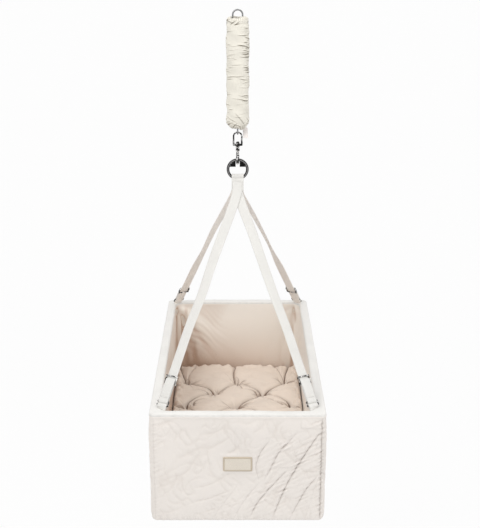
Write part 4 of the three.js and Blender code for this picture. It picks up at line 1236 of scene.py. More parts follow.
def build_loop(material, thread):
    """Webbing over the ring's lower wire: one leg under the front straps and one under the rear.

    It rests where the ring curves up through its edges, so its top stands above the wire's middle.
    """
    box_low, box_high = corners_of("hanger_ring")
    wire, outer = box_high[1], box_high[0]
    half = high("ring_loop")[0]
    thickness, gap = 2.2 * MM, 0.3 * MM
    ring_centre = (box_low[2] + box_high[2]) / 2
    wire_centre = np.array([0, 0, box_low[2] + wire])
    inner = outer - 2 * wire
    rest = np.array([0, 0, ring_centre - math.sqrt(inner**2 - half**2) - wire])
    radius = wire + gap + thickness / 2
    legs, starts, sides = [], [], []
    for end, side in (("front", -1), ("rear", 1)):
        down, facing = fan_of(end)
        start = wire_centre + radius * facing
        bend = start + (side * radius - start[1]) / down[1] * down
        legs.append(np.array([[*(start + 36 * MM * down), *facing], [*bend, *unit(facing + side * BACK)]]))
        starts.append(start)
        sides.append((down, facing))
    angle = np.linspace(math.pi, 0, 30)[:, None]
    out = spun(angle, BACK, UP)
    arch = np.hstack([rest + radius * out, out])
    line = eased(np.vstack([legs[0], arch, legs[1][::-1]]), 0.8 * MM, 3)
    middle, facing = line[:, :3], unit(line[:, 3:])
    over = np.clip(1 - np.abs(np.linspace(-1, 1, len(line))) * 2.2, 0, 1)
    across = np.tile(RIGHT, (len(middle), 1))
    layer = band("loop_layer", middle, across, facing, 2 * half, thickness, 28, 1.1 * MM * over)
    layer.data.materials.append(material)
    seams = []
    for start, (down, side) in zip(starts, sides):
        for run in (9 * MM, 12 * MM, 30 * MM):
            spot = start + thickness / 2 * side + run * down
            seams.append(stitch_row(spot, RIGHT, side, 2 * half - 7 * MM, thread))
    piece = fuse("ring_loop_webbing", [layer, *seams])
    return finish_piece(piece, None, "cradle", "ring_loop")


# The gathered sleeve and its bare tag


def sleeve_folds(angle, height, spans):
    """Short folds round the sleeve: each a sharp valley with a soft bulge above, faded at both ends.

    Spans hold a height range, a number of folds, the middle and spread of their angles, their slant
    and their depth. Gives the summed relief and how much painted shade each spot gets in a valley.
    """
    rng = np.random.default_rng(3)
    relief = np.zeros(np.broadcast(angle, height).shape)
    dark = np.zeros_like(relief)
    for (z_low, z_high), count, (middle, spread), (slant, slant_spread), depth in spans:
        for _ in range(count):
            spot, rise = rng.normal(middle, spread), rng.uniform(z_low, z_high)
            lean, reach = rng.normal(slant, slant_spread), rng.uniform(0.25, 0.8)
            slim, deep = rng.uniform(0.5, 0.9) * MM, depth * rng.uniform(0.4, 1.2)
            curl, phase = rng.uniform(0.1, 0.6) * MM, rng.uniform(0, TURN)
            away = (angle - spot + math.pi) % TURN - math.pi
            fade = np.clip(1 - (away / reach) ** 2, 0, 1) ** 1.5
            drop = height - rise - lean * away * 28 * MM - curl * np.sin(3 * away + phase)
            valley = bump(drop, slim)
            bulge = bump(drop, 1.9 * slim, 2.4 * slim)
            relief += fade * deep * (0.8 * bulge - valley)
            dark += fade * valley * min(1.0, deep / (1.1 * MM))
    return relief, dark


def build_sleeve():
    """A tube of gathered cotton over the spring, drawn in at both ends.

    Radius = profile + slow swells + small gathers + drawn folds + pleats that converge on the mouths.
    """
    top, bottom = top_and_bottom("spring_sleeve")
    gather, pitch = sizes().sleeve_gather, sizes().sleeve_gather_pitch
    columns, rows = 150, 500
    angle = np.linspace(0, TURN, columns, endpoint=False)[None, :]
    down = np.linspace(0, 1, rows)[:, None]
    height = top + (bottom - top) * down
    total = top - bottom
    knots = np.array([0, 1.2, 3.5, 8, 12, 15, 20, 60, 150, 246, 258, 265, 270, 274, 276.6, 278]) * MM
    reach = (17, 22.5, 26.2, 27.2, 26.4, 26.0, 27.6, 28.2, 28.0, 28.2, 27.8, 26.4, 23.6, 19.6, 16, 12.6)
    radius = np.interp(down * total, knots * total / (278 * MM), np.array(reach) * MM)
    ends = smooth(0.055, 0.02, down) + smooth(0.94, 0.975, down)
    body = np.clip(1 - ends, 0, 1)
    right, front = -0.5, -1.5
    spans = [
        ((top - 17 * MM, top - 9 * MM), 9, (front - 1.2, 1.4), (0.42, 0.25), 2.3 * MM),
        ((top - 20 * MM, top - 7 * MM), 12, (1.6, 1.8), (0.2, 0.35), 2.0 * MM),
        ((top - 152 * MM, top - 36 * MM), 40, (right + 0.05, 0.28), (-0.08, 0.10), 1.7 * MM),
        ((top - 152 * MM, top - 30 * MM), 22, (front - 1.4, 0.4), (0.06, 0.12), 0.8 * MM),
        ((top - 150 * MM, top - 40 * MM), 9, (front, 0.5), (0, 0.05), 0.5 * MM),
        ((top - 230 * MM, top - 22 * MM), 150, (math.pi / 2, 1.0), (0, 0.14), 1.2 * MM),
        ((top - 206 * MM, top - 190 * MM), 6, (right - 0.1, 0.3), (-0.12, 0.16), 1.9 * MM),
        ((top - 252 * MM, top - 160 * MM), 8, (front, 1.2), (0, 0.07), 0.6 * MM),
        ((top - 258 * MM, top - 150 * MM), 30, (1.0, 0.9), (0.02, 0.12), 1.2 * MM),
        ((top - 268 * MM, top - 252 * MM), 16, (front - 1.0, 1.2), (0.5, 0.3), 2.6 * MM),
        ((top - 268 * MM, top - 250 * MM), 16, (0.2, 1.4), (-0.35, 0.3), 2.6 * MM),
    ]
    folds, dark = sleeve_folds(angle, height, spans)
    swell = round_ripple(51, 12, angle, 3, height, 60, 190)
    busy = smooth(top - 172 * MM, top - 148 * MM, height) * 0.7 + 0.3
    cycles = TURN / (2 * pitch)
    small = np.abs(round_ripple(52, 14, angle, 4, height, 0.75 * cycles, 1.3 * cycles)) ** 0.8
    patchy = np.clip(0.5 + 0.5 * round_ripple(53, 8, angle, 3, height, 30, 90), 0, 1)
    beside = 0.35 + 0.65 * smooth(0.35, 0.9, np.abs(np.cos(angle)) + np.clip(np.sin(angle), 0, 1))
    ruffle = gather * 0.48 * busy * patchy * (small - 0.5) * beside
    pleat_phase = 15 * angle + 1.6 * round_ripple(54, 6, angle, 5, height, 20, 90) + 40 * height
    pleats = np.abs(np.sin(pleat_phase)) - 0.6
    pinch = smooth(0.035, 0.0, down) * 1.2 + smooth(0.945, 0.99, down) * 1.5
    outer = radius + body * (0.6 * MM * swell + folds + ruffle) + ends * 0.5 * folds
    outer = np.clip(outer + 1.5 * MM * pinch * pleats, 11.9 * MM, 30 * MM)
    bob = 1.3 * MM * round_ripple(55, 6, angle, 6, 0 * height, 0, 1)
    edge_drop = bob * smooth(0.03, 0.0, down) - bob * smooth(0.97, 1.0, down)
    points_z = height + edge_drop
    share = np.linspace(0, 1, 13)[1:-1, None]
    bore = 20.6 * MM - 5.5 * MM * smooth(0.08, 0.0, share) - 7.5 * MM * smooth(0.1, 0.0, share)
    inner = np.broadcast_to(bore, (len(share), columns))
    inner_z = np.broadcast_to((bottom + 2.5 * MM) + (top - bottom - 5 * MM) * share, inner.shape)
    ring = np.vstack([outer, inner])
    rise = np.vstack([points_z, inner_z])
    grid = np.stack([ring * np.cos(angle), ring * np.sin(angle), rise], axis=-1)
    # Painted shade: darker in the fold valleys, more so at the drawn-in ends, and in the pinched pleats.
    shade = dark * (1 + 2.0 * ends) + pinch * np.clip(-pleats, 0, 1) * 1.6
    crease = np.vstack([np.clip(shade, 0, 1), np.zeros_like(inner)])
    run = np.concatenate([total * down[:, 0], total + total * share[:, 0], [2 * total]])
    around = np.linspace(0, TURN, columns + 1) * 28 * MM
    piece = skin("gathered_sleeve", grid, close=True, uv=cloth_uv(around, run), values={"crease": crease})
    finish = cotton("sleeve_cotton", paint("sleeve"), 0.5 * MM, 0.5, 16.0, "crease", 0.25, (0.32, 0.29, 0.25))
    finish_piece(piece, finish, None, "spring_sleeve")
    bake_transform(piece)
    return piece


def build_tag(material):
    """A bare folded tape that hangs from the sleeve's foot: a thin band that curls forward."""
    box_low, box_high = corners_of("sleeve_tag")
    spot, top, bottom = (box_low[0] + box_high[0]) / 2, box_high[2] + 2.5 * MM, box_low[2]
    share = np.linspace(0, 1, 30)
    curl = 2.4 * MM * np.sin(math.pi * share * 0.9)
    fall = top + (bottom - top) * share
    middle = np.stack([spot - 1.2 * MM + 2 * MM * share, curl - 3.5 * MM * share**2, fall], axis=1)
    facing = np.cross(RIGHT, tangents(middle))
    piece = band("bare_tag", middle, np.tile(RIGHT, (30, 1)), facing, 12.5 * MM, 0.9 * MM, 18)
    finish_piece(piece, material, "spring_end", "sleeve_tag")
    return piece


# The box: cover, rim, liner and patch

PATCH_RISE = 4 * MM  # how far the cover stands out under the patch
POINT = 0.002  # a face's middle is drawn in to this share of its outline
DRAWN = (0.5, 0.4, 1.0, 0.25)  # how hard each corner's tab pulls on the end wall beside it


def rounded_outline(half_x, half_y, radius, spacing, corner_points=10):
    """A rectangle with round corners, walked anticlockwise from the middle of its right side.

    Gives the points, the outward directions and the distance round, with the seam point repeated.
    """
    points, ways = [], []
    quarter = np.linspace(0, math.pi / 2, corner_points)
    corners = ((1, 1), (-1, 1), (-1, -1), (1, -1))
    for k, (sx, sy) in enumerate(corners):
        angle = quarter + k * math.pi / 2
        out = np.stack([np.cos(angle), np.sin(angle)], axis=1)
        bend = np.array([sx * (half_x - radius), sy * (half_y - radius)]) + radius * out
        sx, sy = corners[(k + 1) % 4]
        end = np.array([sx * (half_x - radius), sy * (half_y - radius)]) + radius * out[-1]
        count = max(1, round(float(np.linalg.norm(end - bend[-1])) / spacing))
        share = np.linspace(0, 1, count + 1)[1:-1, None]
        points += [bend, bend[-1] + share * (end - bend[-1])]
        ways += [out, np.tile(out[-1], (len(share), 1))]
    points, ways = np.vstack(points), np.vstack(ways)
    start = int(np.argmin(np.abs(points[:, 1]) + (points[:, 0] < 0)))
    points, ways = np.roll(points, -start, axis=0), np.roll(ways, -start, axis=0)
    return points, ways, run_of(np.vstack([points, points[:1]]))


def signed_gap(x, z, heights, places):
    """Signed distance to a line x(z) through chosen points, its share of strength past both ends."""
    order = np.argsort(heights)
    heights, places = np.asarray(heights, float)[order], np.asarray(places, float)[order]
    fine = np.linspace(heights[0], heights[-1], 60)
    line = np.interp(fine, heights, places)
    line = np.convolve(np.pad(line, 6, mode="reflect", reflect_type="odd"), np.ones(13) / 13, "valid")
    route = np.interp(z, fine, line)
    slope = np.interp(z, fine, np.gradient(line, fine))
    reach = smooth(heights[0] - 12 * MM, heights[0] + 26 * MM, z)
    reach = reach * smooth(-heights[-1] - 12 * MM, -heights[-1] + 26 * MM, -z)
    return (x - route) / np.sqrt(1 + slope**2), reach


def quilting(across, height, lines, seed):
    """One side's sewn channels and the crumples between them.

    Gives the signed distance to the nearest channel, its strength, and 1 in the middle of a crumple,
    which lies where a sum of waves on two slanting axes passes 0.
    """
    gap, strength = np.full(across.shape, 0.05), np.zeros(across.shape)
    for heights, places, level in lines:
        new_gap, reach = signed_gap(across, height, heights, places)
        closer = (reach > 0.02) & (np.abs(new_gap) < np.abs(gap))
        gap, strength = np.where(closer, new_gap, gap), np.where(closer, reach * level, strength)
    one, other = across + 0.8 * height, height - 0.9 * across
    crumple = np.zeros(across.shape)
    for k, (slow, quick, share) in enumerate(((one, other, 1.0), (other, one, 0.8), (one, other, 0.6))):
        field = ripple(seed + 20 * k, 10, (slow, 8, 45 + 30 * k), (quick, 35, 110 + 40 * k))
        mask = smooth(-0.5, 0.7, ripple(seed + 20 * k + 9, 8, (across, 15, 60), (height, 15, 60)))
        crumple += share * mask * np.exp(-np.abs(field) * 3.6)
    return gap, strength, np.tanh(crumple) * smooth(3 * MM, 12 * MM, np.abs(gap))


def cover_channels(top, bottom, half_x):
    """The long channels on the front's right part, as heights and places across."""
    height = top - bottom
    fan = (
        ((0.16, 0.34, 0.50, 0.58), (0.66, 0.46, 0.37, 0.31)),
        ((0.22, 0.34, 0.47, 0.58), (0.36, 0.25, 0.20, 0.24)),
        ((0.50, 0.66, 0.82, 0.96), (0.57, 0.38, 0.22, 0.14)),
        ((0.13, 0.32, 0.48, 0.66, 0.95), (0.95, 0.79, 0.67, 0.55, 0.41)),
        ((0.54, 0.68, 0.82, 0.96), (0.93, 0.79, 0.70, 0.61)),
        ((0.60, 0.74, 0.86, 0.97), (0.27, 0.12, 0.02, -0.05)),
        ((0.66, 0.78, 0.88, 0.97), (-0.02, -0.13, -0.22, -0.30)),
    )
    levels = (0.8, 0.7, 0.85, 1.0, 0.75, 0.35, 0.25)
    seams = [(np.array([top, bottom]), np.full(2, 0.957 * half_x), 1.4)]
    seams += [(np.array([top, bottom]), np.full(2, -0.957 * half_x), 0.35)]
    places = [(top - height * np.array(falls), half_x * np.array(spots)) for falls, spots in fan]
    return seams + [(*place, level) for place, level in zip(places, levels)]


def side_channels(top, bottom, half_y):
    """Long channels down a side wall: gentle curves that lean to one end."""
    falls = np.array([0.08, 0.28, 0.50, 0.73, 0.94])
    drift = half_y * np.array([0, 0.03, 0.08, 0.15, 0.21])
    starts = (np.arange(9) - 4.2) * 0.225 * half_y
    return [(top - (top - bottom) * falls, start + drift, 0.8) for start in starts]


def build_cover():
    """The quilted outside: walls and base as one padded skin, its sewn lines pulled in.

    Offset out from the box = puff x (1 - e^(-gap / reach)) - line depth + cross puckers + waves.
    """
    top, bottom = top_and_bottom("outer_cover")
    half_x, half_y = high("outer_cover")[:2]
    outline, ways, reach = rounded_outline(half_x, half_y, 12.5 * MM, 2.5 * MM)
    turn, wall_rows = 11 * MM, 108
    arc = np.linspace(0, math.pi / 2, 9)[1:]
    inset = np.concatenate([np.zeros(wall_rows), turn * (1 - np.cos(arc))])
    height = np.linspace(top + 0.3 * MM, bottom + turn, wall_rows)
    height = np.concatenate([height, bottom + turn - turn * np.sin(arc)])
    x = outline[None, :, 0] - inset[:, None] * ways[None, :, 0]
    y = outline[None, :, 1] - inset[:, None] * ways[None, :, 1]
    z = np.broadcast_to(height[:, None], x.shape).copy()
    fall = (top - z) / (top - bottom)
    gap, strength, crumple = np.full(x.shape, 1.0), np.zeros(x.shape), np.zeros(x.shape)
    fronts = cover_channels(top, bottom, half_x)
    rears = [(heights, -places, level) for heights, places, level in fronts]
    flanks = side_channels(top, bottom, half_y)
    facets = (
        (-ways[:, 1], x, fronts, 71),
        (ways[:, 1], x, rears, 72),
        (ways[:, 0], y, flanks, 73),
        (-ways[:, 0], y, flanks, 74),
    )
    for facing, across, lines, seed in facets:
        here = facing[None, :] > 0.75
        new_gap, new_strength, new_crumple = quilting(across, z, lines, seed)
        gap, strength = np.where(here, new_gap, gap), np.where(here, new_strength, strength)
        crumple = np.where(here, new_crumple, crumple)
    round_run = reach[None, :-1] + 0 * z
    edges = smooth(0.0, 0.05, fall) * smooth(1.0, 0.965, fall)
    corner = smooth(0.72, 0.97, np.abs(ways).max(1))[None, :]
    belly = (0.4 + 0.6 * smooth(0, 0.10, fall)) * (1 - 0.6 * smooth(0.90, 1.0, fall))
    puff = 1 - np.exp(-np.abs(gap) / (9 * MM))
    sewn = strength * bump(gap, 2.2 * MM)
    along = (z + 0.62 * 0.8 * np.where(np.abs(ways[None, :, 1]) > 0.5, -x, -y)) * 0.85
    pucker = ripple(75, 14, (along, 420, 900), (round_run, 10, 90))
    pucker = pucker * np.exp(-np.abs(gap) / (13 * MM)) * strength
    waves = ripple(77, 14, (round_run, 12, 60), (z, 12, 60))
    hem = ripple(78, 14, (round_run, 180, 520), (z, 0, 30))
    hem = hem * smooth(0.90, 0.97, fall) * smooth(1.0, 0.985, fall)
    settings = sizes()
    relief = settings.cover_puff * belly * (0.45 + 0.45 * puff * (0.35 + 0.65 * strength))
    relief = relief + 0.55 * MM * waves * belly - 2.8 * MM * crumple * belly
    relief = relief - settings.channel_depth * sewn * edges + 1.4 * MM * pucker * edges + 0.8 * MM * hem
    patch_low, patch_high = corners_of("label_patch")
    off_x = np.abs(x) - patch_high[0]
    off_z = np.abs(z - (patch_low[2] + patch_high[2]) / 2) - (patch_high[2] - patch_low[2]) / 2
    beside = np.maximum(off_x, off_z) + 10 * (y > 0)
    flat = smooth(11 * MM, 1 * MM, beside)
    relief = relief * (1 - flat) + flat * (PATCH_RISE - 0.9 * MM * smooth(4 * MM, 0, np.abs(beside)))
    relief = relief * (0.35 + 0.65 * corner)
    relief = 7 * MM * np.tanh(relief / (7 * MM))
    lipped = smooth(0.035, 0.0, fall)
    relief = relief * (1 - lipped) + 2.0 * MM * lipped
    outward = np.cos(np.concatenate([np.zeros(wall_rows), arc]))[:, None]
    x = x + relief * ways[None, :, 0] * outward
    y = y + relief * ways[None, :, 1] * outward
    base = np.maximum(1 - np.linspace(0, 1, 14)[1:, None], POINT)
    wrinkle = 0.5 * MM * ripple(79, 10, (x[-1] * base, 20, 90), (y[-1] * base, 20, 90))
    wrinkle = wrinkle * smooth(1, 0.85, base)
    base_grid = meet(x[-1] * base, y[-1] * base, z[-1] + np.abs(wrinkle))
    outer = np.vstack([np.stack([x, y, z], axis=-1), base_grid])
    lip = outline - 3.2 * MM * ways
    levels = np.array([top - 0.2 * MM, bottom + 6 * MM])[:, None]
    wall = meet(lip[None, :, 0], lip[None, :, 1], levels)
    shrink = np.array([[0.5], [POINT]])
    floor = meet(lip[:, 0] * shrink, lip[:, 1] * shrink, bottom + 3.4 * MM)
    grid = np.vstack([np.vstack([wall, floor])[::-1], outer])
    padding = ((4, len(base)), (0, 0))
    # Painted shade: gap and seam place a dark line and a soft shadow along the channels and seams, and crease
    # darkens the crumples and the puckers' valleys.
    values = {
        "gap": np.pad(np.clip(gap, -0.02, 0.02), padding, constant_values=0.02),
        "seam": np.pad(strength * edges * (1 - flat), padding),
        "crease": np.pad((0.13 * crumple + 0.09 * np.clip(-pucker, 0, 1)) * edges * (1 - flat), padding),
    }
    down = np.concatenate([np.linspace(-0.4, 0, 5)[:4], run_of(np.stack([inset, height], axis=1))])
    down = np.concatenate([down, down[-1] + 0.4 * (1 - base[:, 0])])
    piece = skin("quilted_cover", grid, uv=cloth_uv(reach, down), values=values)
    # The line colour is the painted shade along the channels.
    finish = sewn_cotton("quilted_cotton", paint("cover"), (0.44, 0.37, 0.33), 0.36, 0.22, 1.0)
    finish_piece(piece, finish, "cradle", "outer_cover")
    return piece


def build_rim():
    """The padded band round the top: a roll with a flat outer side and soft, shallow puckers.

    Height = bottom + tall x (1 - |2 across - 1|^4)^(1/2), across running from outside to inside.
    """
    top, bottom = top_and_bottom("rim_band")
    half_x, half_y = high("rim_band")[:2]
    wall, corner = 19.7 * MM, 12.5 * MM
    outline, ways, reach = rounded_outline(half_x, half_y, corner, 3.2 * MM, 14)
    inner = inner_line(outline, ways, (half_x, half_y, corner), (half_x - wall, half_y - wall, 30 * MM))
    over = signed_power(np.linspace(-1, 1, 24), 2.5)
    over = np.concatenate([[-1, -0.9997, -0.995], over[1:-1], [0.995, 0.9997, 1]])
    rise = (1 - np.abs(over) ** 4) ** 0.5
    across = np.concatenate([over, np.linspace(1, -1, 7)[1:-1]]) * 0.5 + 0.5
    tall = np.concatenate([rise, np.full(5, -0.04)])
    run = reach[None, :-1]
    across, tall = across[:, None], tall[:, None]
    seam = smooth(0.22, 0.0, across) + smooth(0.78, 1.0, across)
    puckers = ripple(21, 14, (run, 120, 380), (across, 0, 2.0))
    waves = ripple(22, 10, (run, 10, 45), (across, 0, 1.5))
    top_side = np.clip(tall, 0, 1)
    lift = sizes().rim_wrinkle * top_side * (0.35 * puckers * (0.3 + 0.7 * seam) + 0.7 * waves)
    flush = 1.7 * MM * smooth(0.5, 0.1, across) * smooth(1.0, 0.8, top_side)
    flush = flush - 2.5 * MM * smooth(0.6, 0.97, across)
    bulge = np.where(across < 0.5, 0.5 + 0.35 * waves, 0.1 * waves) * top_side * smooth(1.0, 0.7, top_side)
    side = flush + bulge * MM
    x = outline[:, 0] + across * (inner[:, 0] - outline[:, 0]) + ways[None, :, 0] * side
    y = outline[:, 1] + across * (inner[:, 1] - outline[:, 1]) + ways[None, :, 1] * side
    z = bottom + (top - bottom - 0.4 * MM) * tall + lift
    grid = np.stack([x, y, z], axis=-1).transpose(1, 0, 2)
    # Painted shade in the valleys of the puckers near the roll's seams.
    dark = np.clip(0.16 * seam * np.clip(-puckers, 0, 1), 0, 1).T
    around = np.linspace(0, 60 * MM, grid.shape[1] + 1)
    piece = skin("rim_roll", grid, close=True, uv=cloth_uv(around, reach), values={"crease": dark})
    finish = cotton("rim_cotton", paint("rim"), 0.5 * MM, 0.4, 12.0, "crease")
    finish_piece(piece, finish, "cradle", "rim_band")
    return piece


def inner_line(outline, ways, outer, inner):
    """The inside of a band, point by point beside its outside: corners turn about their own centres."""
    half_x, half_y, corner = outer
    inner_x, inner_y, inner_corner = inner
    bend = (np.abs(outline[:, 0]) > half_x - corner - 1e-6) & (np.abs(outline[:, 1]) > half_y - corner - 1e-6)
    sign = np.sign(outline)
    inset = np.array([inner_x - inner_corner, inner_y - inner_corner])
    scale = inset / np.array([half_x - corner, half_y - corner])
    turned_in = sign * inset + inner_corner * ways
    straight = np.where(np.abs(ways) > 0.5, sign * np.array([inner_x, inner_y]), outline * scale)
    return np.where(bend[:, None], turned_in, straight)


def drawn_folds(run, height, spot, top, rays):
    """Folds that leave one point of the rim: each a soft ridge beside a valley along a slanting line.

    A ray has a slope, a length, a depth and a width that grows with the fall.
    """
    relief = np.zeros(np.broadcast(run, height).shape)
    fall = top - height
    for slope, reach, depth, slim in rays:
        away = (run - spot - slope * fall) / math.hypot(1, slope)
        wide = slim + 0.07 * fall
        fade = smooth(0, 20 * MM, fall) * smooth(reach, 0.35 * reach, fall)
        relief += depth * fade * (bump(away, wide) - 0.8 * bump(away, wide, 1.5 * wide))
    return relief


def build_liner():
    """The smooth inside: walls with folds that hang from the corner tabs, and a flat floor.

    Inward relief = slow waves + the folds drawn from each corner + upright pleats in the corners.
    """
    top, bottom = top_and_bottom("inner_liner")
    thick = 2 * MM
    inner_x, inner_y = high("inner_liner")[:2] - thick
    outline, ways, reach = rounded_outline(inner_x, inner_y, 30 * MM, 3.2 * MM, 20)
    height = np.linspace(top + 1.2 * MM, bottom + thick, 76)[:, None]
    run, total = reach[None, :-1], reach[-1]
    fall = (top - height) / (top - bottom)
    folds = 0.9 * MM * np.tanh(0.8 * ripple(31, 10, (run, 6, 26), (height, 6, 30)))
    lines = np.zeros(fall.shape)
    for seed, (side_x, side_y) in enumerate(SIDES.values()):
        spot = int(np.argmin(np.hypot(outline[:, 0] - side_x * inner_x, outline[:, 1] - side_y * inner_y)))
        away = (run - reach[spot] + total / 2) % total - total / 2
        turn, drawn = side_x * side_y, DRAWN[seed]
        rays = [
            (1.10 * turn, 250 * MM, 1.8 * MM * drawn, 9 * MM),
            (0.78 * turn, 230 * MM, 2.4 * MM * drawn, 7 * MM),
            (0.45 * turn, 260 * MM, 2.2 * MM * drawn, 6 * MM),
            (0.14 * turn, 230 * MM, 2.0 * MM, 4 * MM),
            (-0.10 * turn, 240 * MM, 2.4 * MM, 4.5 * MM),
            (-0.45 * turn, 230 * MM, 1.8 * MM, 7 * MM),
        ]
        scale = sizes().liner_fold / (5 * MM)
        folds = folds + scale * drawn_folds(away, height, 0, top, rays)
        wander = 6 * MM * np.sin(height / (45 * MM) + seed)
        pleats = np.sin((away + wander) / (5.2 * MM) + seed) + 0.6 * np.sin((away - wander) / (3.4 * MM))
        beside = bump(away, 34 * MM) * smooth(0, 0.12, fall)
        folds = folds + scale * 1.2 * MM * pleats * beside
        # Painted shade in the valleys of the corner pleats.
        lines = lines + (0.15 + 0.8 * drawn) * np.clip(-pleats, 0, 1) ** 1.5 * beside
        spread = ((away * turn - 75 * MM) / (60 * MM)) ** 2 + ((fall - 0.36) / 0.2) ** 2
        slant = (top - height - 0.85 * away * turn) / (7 * MM) + np.sin(away / (16 * MM))
        folds = folds + scale * 1.7 * MM * drawn**2 * (np.abs(np.sin(slant)) ** 0.7 - 0.6) * np.exp(-spread)
    relief = 4.2 * MM * np.tanh(folds / (4.2 * MM)) * smooth(0.0, 0.06, fall)
    relief = relief * (0.15 + 0.85 * smooth(0.84, 0.70, fall))
    seat = -0.3 * MM * smooth(0.05, 0.0, fall)
    x = outline[None, :, 0] + (seat - relief) * ways[None, :, 0]
    y = outline[None, :, 1] + (seat - relief) * ways[None, :, 1]
    shrink = np.linspace(1, POINT, 12)[1:, None]
    floor = meet(shrink * x[-1], shrink * y[-1], bottom + thick)
    shell = outline + thick * ways
    back = meet(shell[:, 0], shell[:, 1], np.array([[top + 0.6 * MM], [bottom]]))
    under = meet(POINT * shell[:, 0], POINT * shell[:, 1], np.array([[bottom]]))
    grid = np.vstack([under, back[::-1], meet(x, y, height), floor])
    columns = grid.shape[1]
    # Painted shade: darker towards the bottom and to the left, the left wall darker and the right wall
    # lighter as the lamps fall, and darker in fold valleys and pleats; the floor under the pad gets the full
    # deep colour.
    shade = smooth(0.15, 1.0, fall) * (0.72 - 0.38 * outline[None, :, 0] / inner_x)
    shade = shade + 0.30 * smooth(0.3, 0.9, -ways[None, :, 0]) - 0.33 * smooth(0.3, 0.9, ways[None, :, 0])
    shade = shade + smooth(0.5, 0.9, fall) * (0.18 - 0.12 * outline[None, :, 0] / inner_x)
    valley = np.clip(-folds / (3.4 * MM), 0, 1.1)
    dark = np.clip(shade + valley + lines, 0, 1)
    crease = np.vstack([np.zeros((3, columns)), dark, np.ones((11, columns))])
    uv = cloth_uv(reach, np.linspace(0, 0.6, grid.shape[0]))
    piece = skin("smooth_liner", grid, uv=uv, values={"crease": crease})
    finish = cotton("liner_cotton", paint("liner"), 0.45 * MM, 0.35, 6.0, "crease", 0.15, (0.60, 0.45, 0.37))
    finish_piece(piece, finish, "cradle", "inner_liner")
    return piece


def build_patch(thread):
    """The bare patch sewn to the front: turned edges and a row of stitches all round."""
    box_low, box_high = corners_of("label_patch")
    half_x, half_z = box_high[0], (box_high[2] - box_low[2]) / 2
    middle = (box_low[2] + box_high[2]) / 2
    face_y = low("outer_cover")[1] - PATCH_RISE
    columns, rows = 84, 44
    x, z = half_x * np.linspace(-1, 1, columns)[None, :], half_z * np.linspace(-1, 1, rows)[:, None]
    x, z = np.broadcast_arrays(x, z)
    x, z = round_corners(x, z, half_x, half_z, 3 * MM)
    margin = np.minimum(half_x - np.abs(x), half_z - np.abs(z))
    edge = smooth(4.4 * MM, 3.2 * MM, margin)
    seam = bump(margin, 0.8 * MM, 3.0 * MM)
    puff = 0.9 * MM * smooth(0, 2 * MM, margin) + 0.35 * MM * edge - 0.4 * MM * seam
    puff = puff + 0.3 * MM * ripple(41, 10, (x, 40, 160), (z, 40, 160)) * smooth(0, 6 * MM, margin)
    front = np.stack([x, face_y - 0.3 * MM - puff, middle + z], axis=-1)
    rear = np.stack([x, np.full_like(x, face_y + 0.6 * MM), middle + z], axis=-1)
    points = np.vstack([front.reshape(-1, 3), rear.reshape(-1, 3)])
    face, rim, count = grid_faces(rows, columns), rim_of(rows, columns), rows * columns
    following = np.roll(rim, -1)
    walls = np.stack([rim, rim + count, following + count, following], axis=1)
    quads = np.vstack([face, face[:, ::-1] + count, walls])
    if is_inside_out(points, quads):
        quads = quads[:, ::-1]
    flat = np.concatenate([np.stack([x, z], -1).reshape(-1, 2)] * 2)
    values = {"edge": np.tile(edge.ravel(), 2)}
    piece = shaped("bare_patch", points, quads.tolist(), flat[quads.ravel()], values)
    finish_piece(piece, patch_finish(), "cradle", "label_patch")
    outline, ways, _ = rounded_outline(half_x - 3 * MM, half_z - 3 * MM, 1.6 * MM, 3.2 * MM, 3)
    depth = np.full(len(outline), face_y - 1.2 * MM)
    spots = np.stack([outline[:, 0], depth, middle + outline[:, 1]], axis=1)
    along = np.stack([-ways[:, 1], 0 * depth, ways[:, 0]], axis=1)
    row = stitches(spots, along, -BACK, 3.2 * MM, thread, 0.6 * MM)
    row.name = "patch_stitches"
    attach(row, "cradle")


def round_corners(x, y, half_x, half_y, radius):
    """Draws the corners of a rectangular grid in to a radius."""
    over_x, over_y = np.abs(x) - half_x + radius, np.abs(y) - half_y + radius
    bend = (over_x > 0) & (over_y > 0)
    scale = np.where(bend, np.maximum(over_x, over_y) / np.maximum(np.hypot(over_x, over_y), 1e-9), 1)
    x = np.where(bend, np.sign(x) * (half_x - radius + over_x * scale), x)
    y = np.where(bend, np.sign(y) * (half_y - radius + over_y * scale), y)
    return x, y


def rim_of(rows, columns):
    """The numbers of a grid's outer points, once round."""
    last = (rows - 1) * columns
    bottom, right = np.arange(columns - 1), np.arange(rows - 1) * columns + columns - 1
    top, left = last + np.arange(columns - 1, 0, -1), np.arange(rows - 1, 0, -1) * columns
    return np.concatenate([bottom, right, top, left])


# The tufted pad


TUFT_ROW = 82.5 * MM  # from one row of tufts to the next
UNDER = 7  # rings of points under the pad's seam


def tuft_points(centre_y):
    """The tufts' places: rows with two and three across in turn."""
    spots = []
    for k in range(-3, 4):
        across = (-72.5, 72.5) if k % 2 == 0 else (-145, 0, 145)
        spots += [(x * MM, centre_y + k * TUFT_ROW) for x in across]
    drift = np.random.default_rng(60).uniform(-7, 7, (len(spots), 2)) * MM
    return np.array(spots) + drift


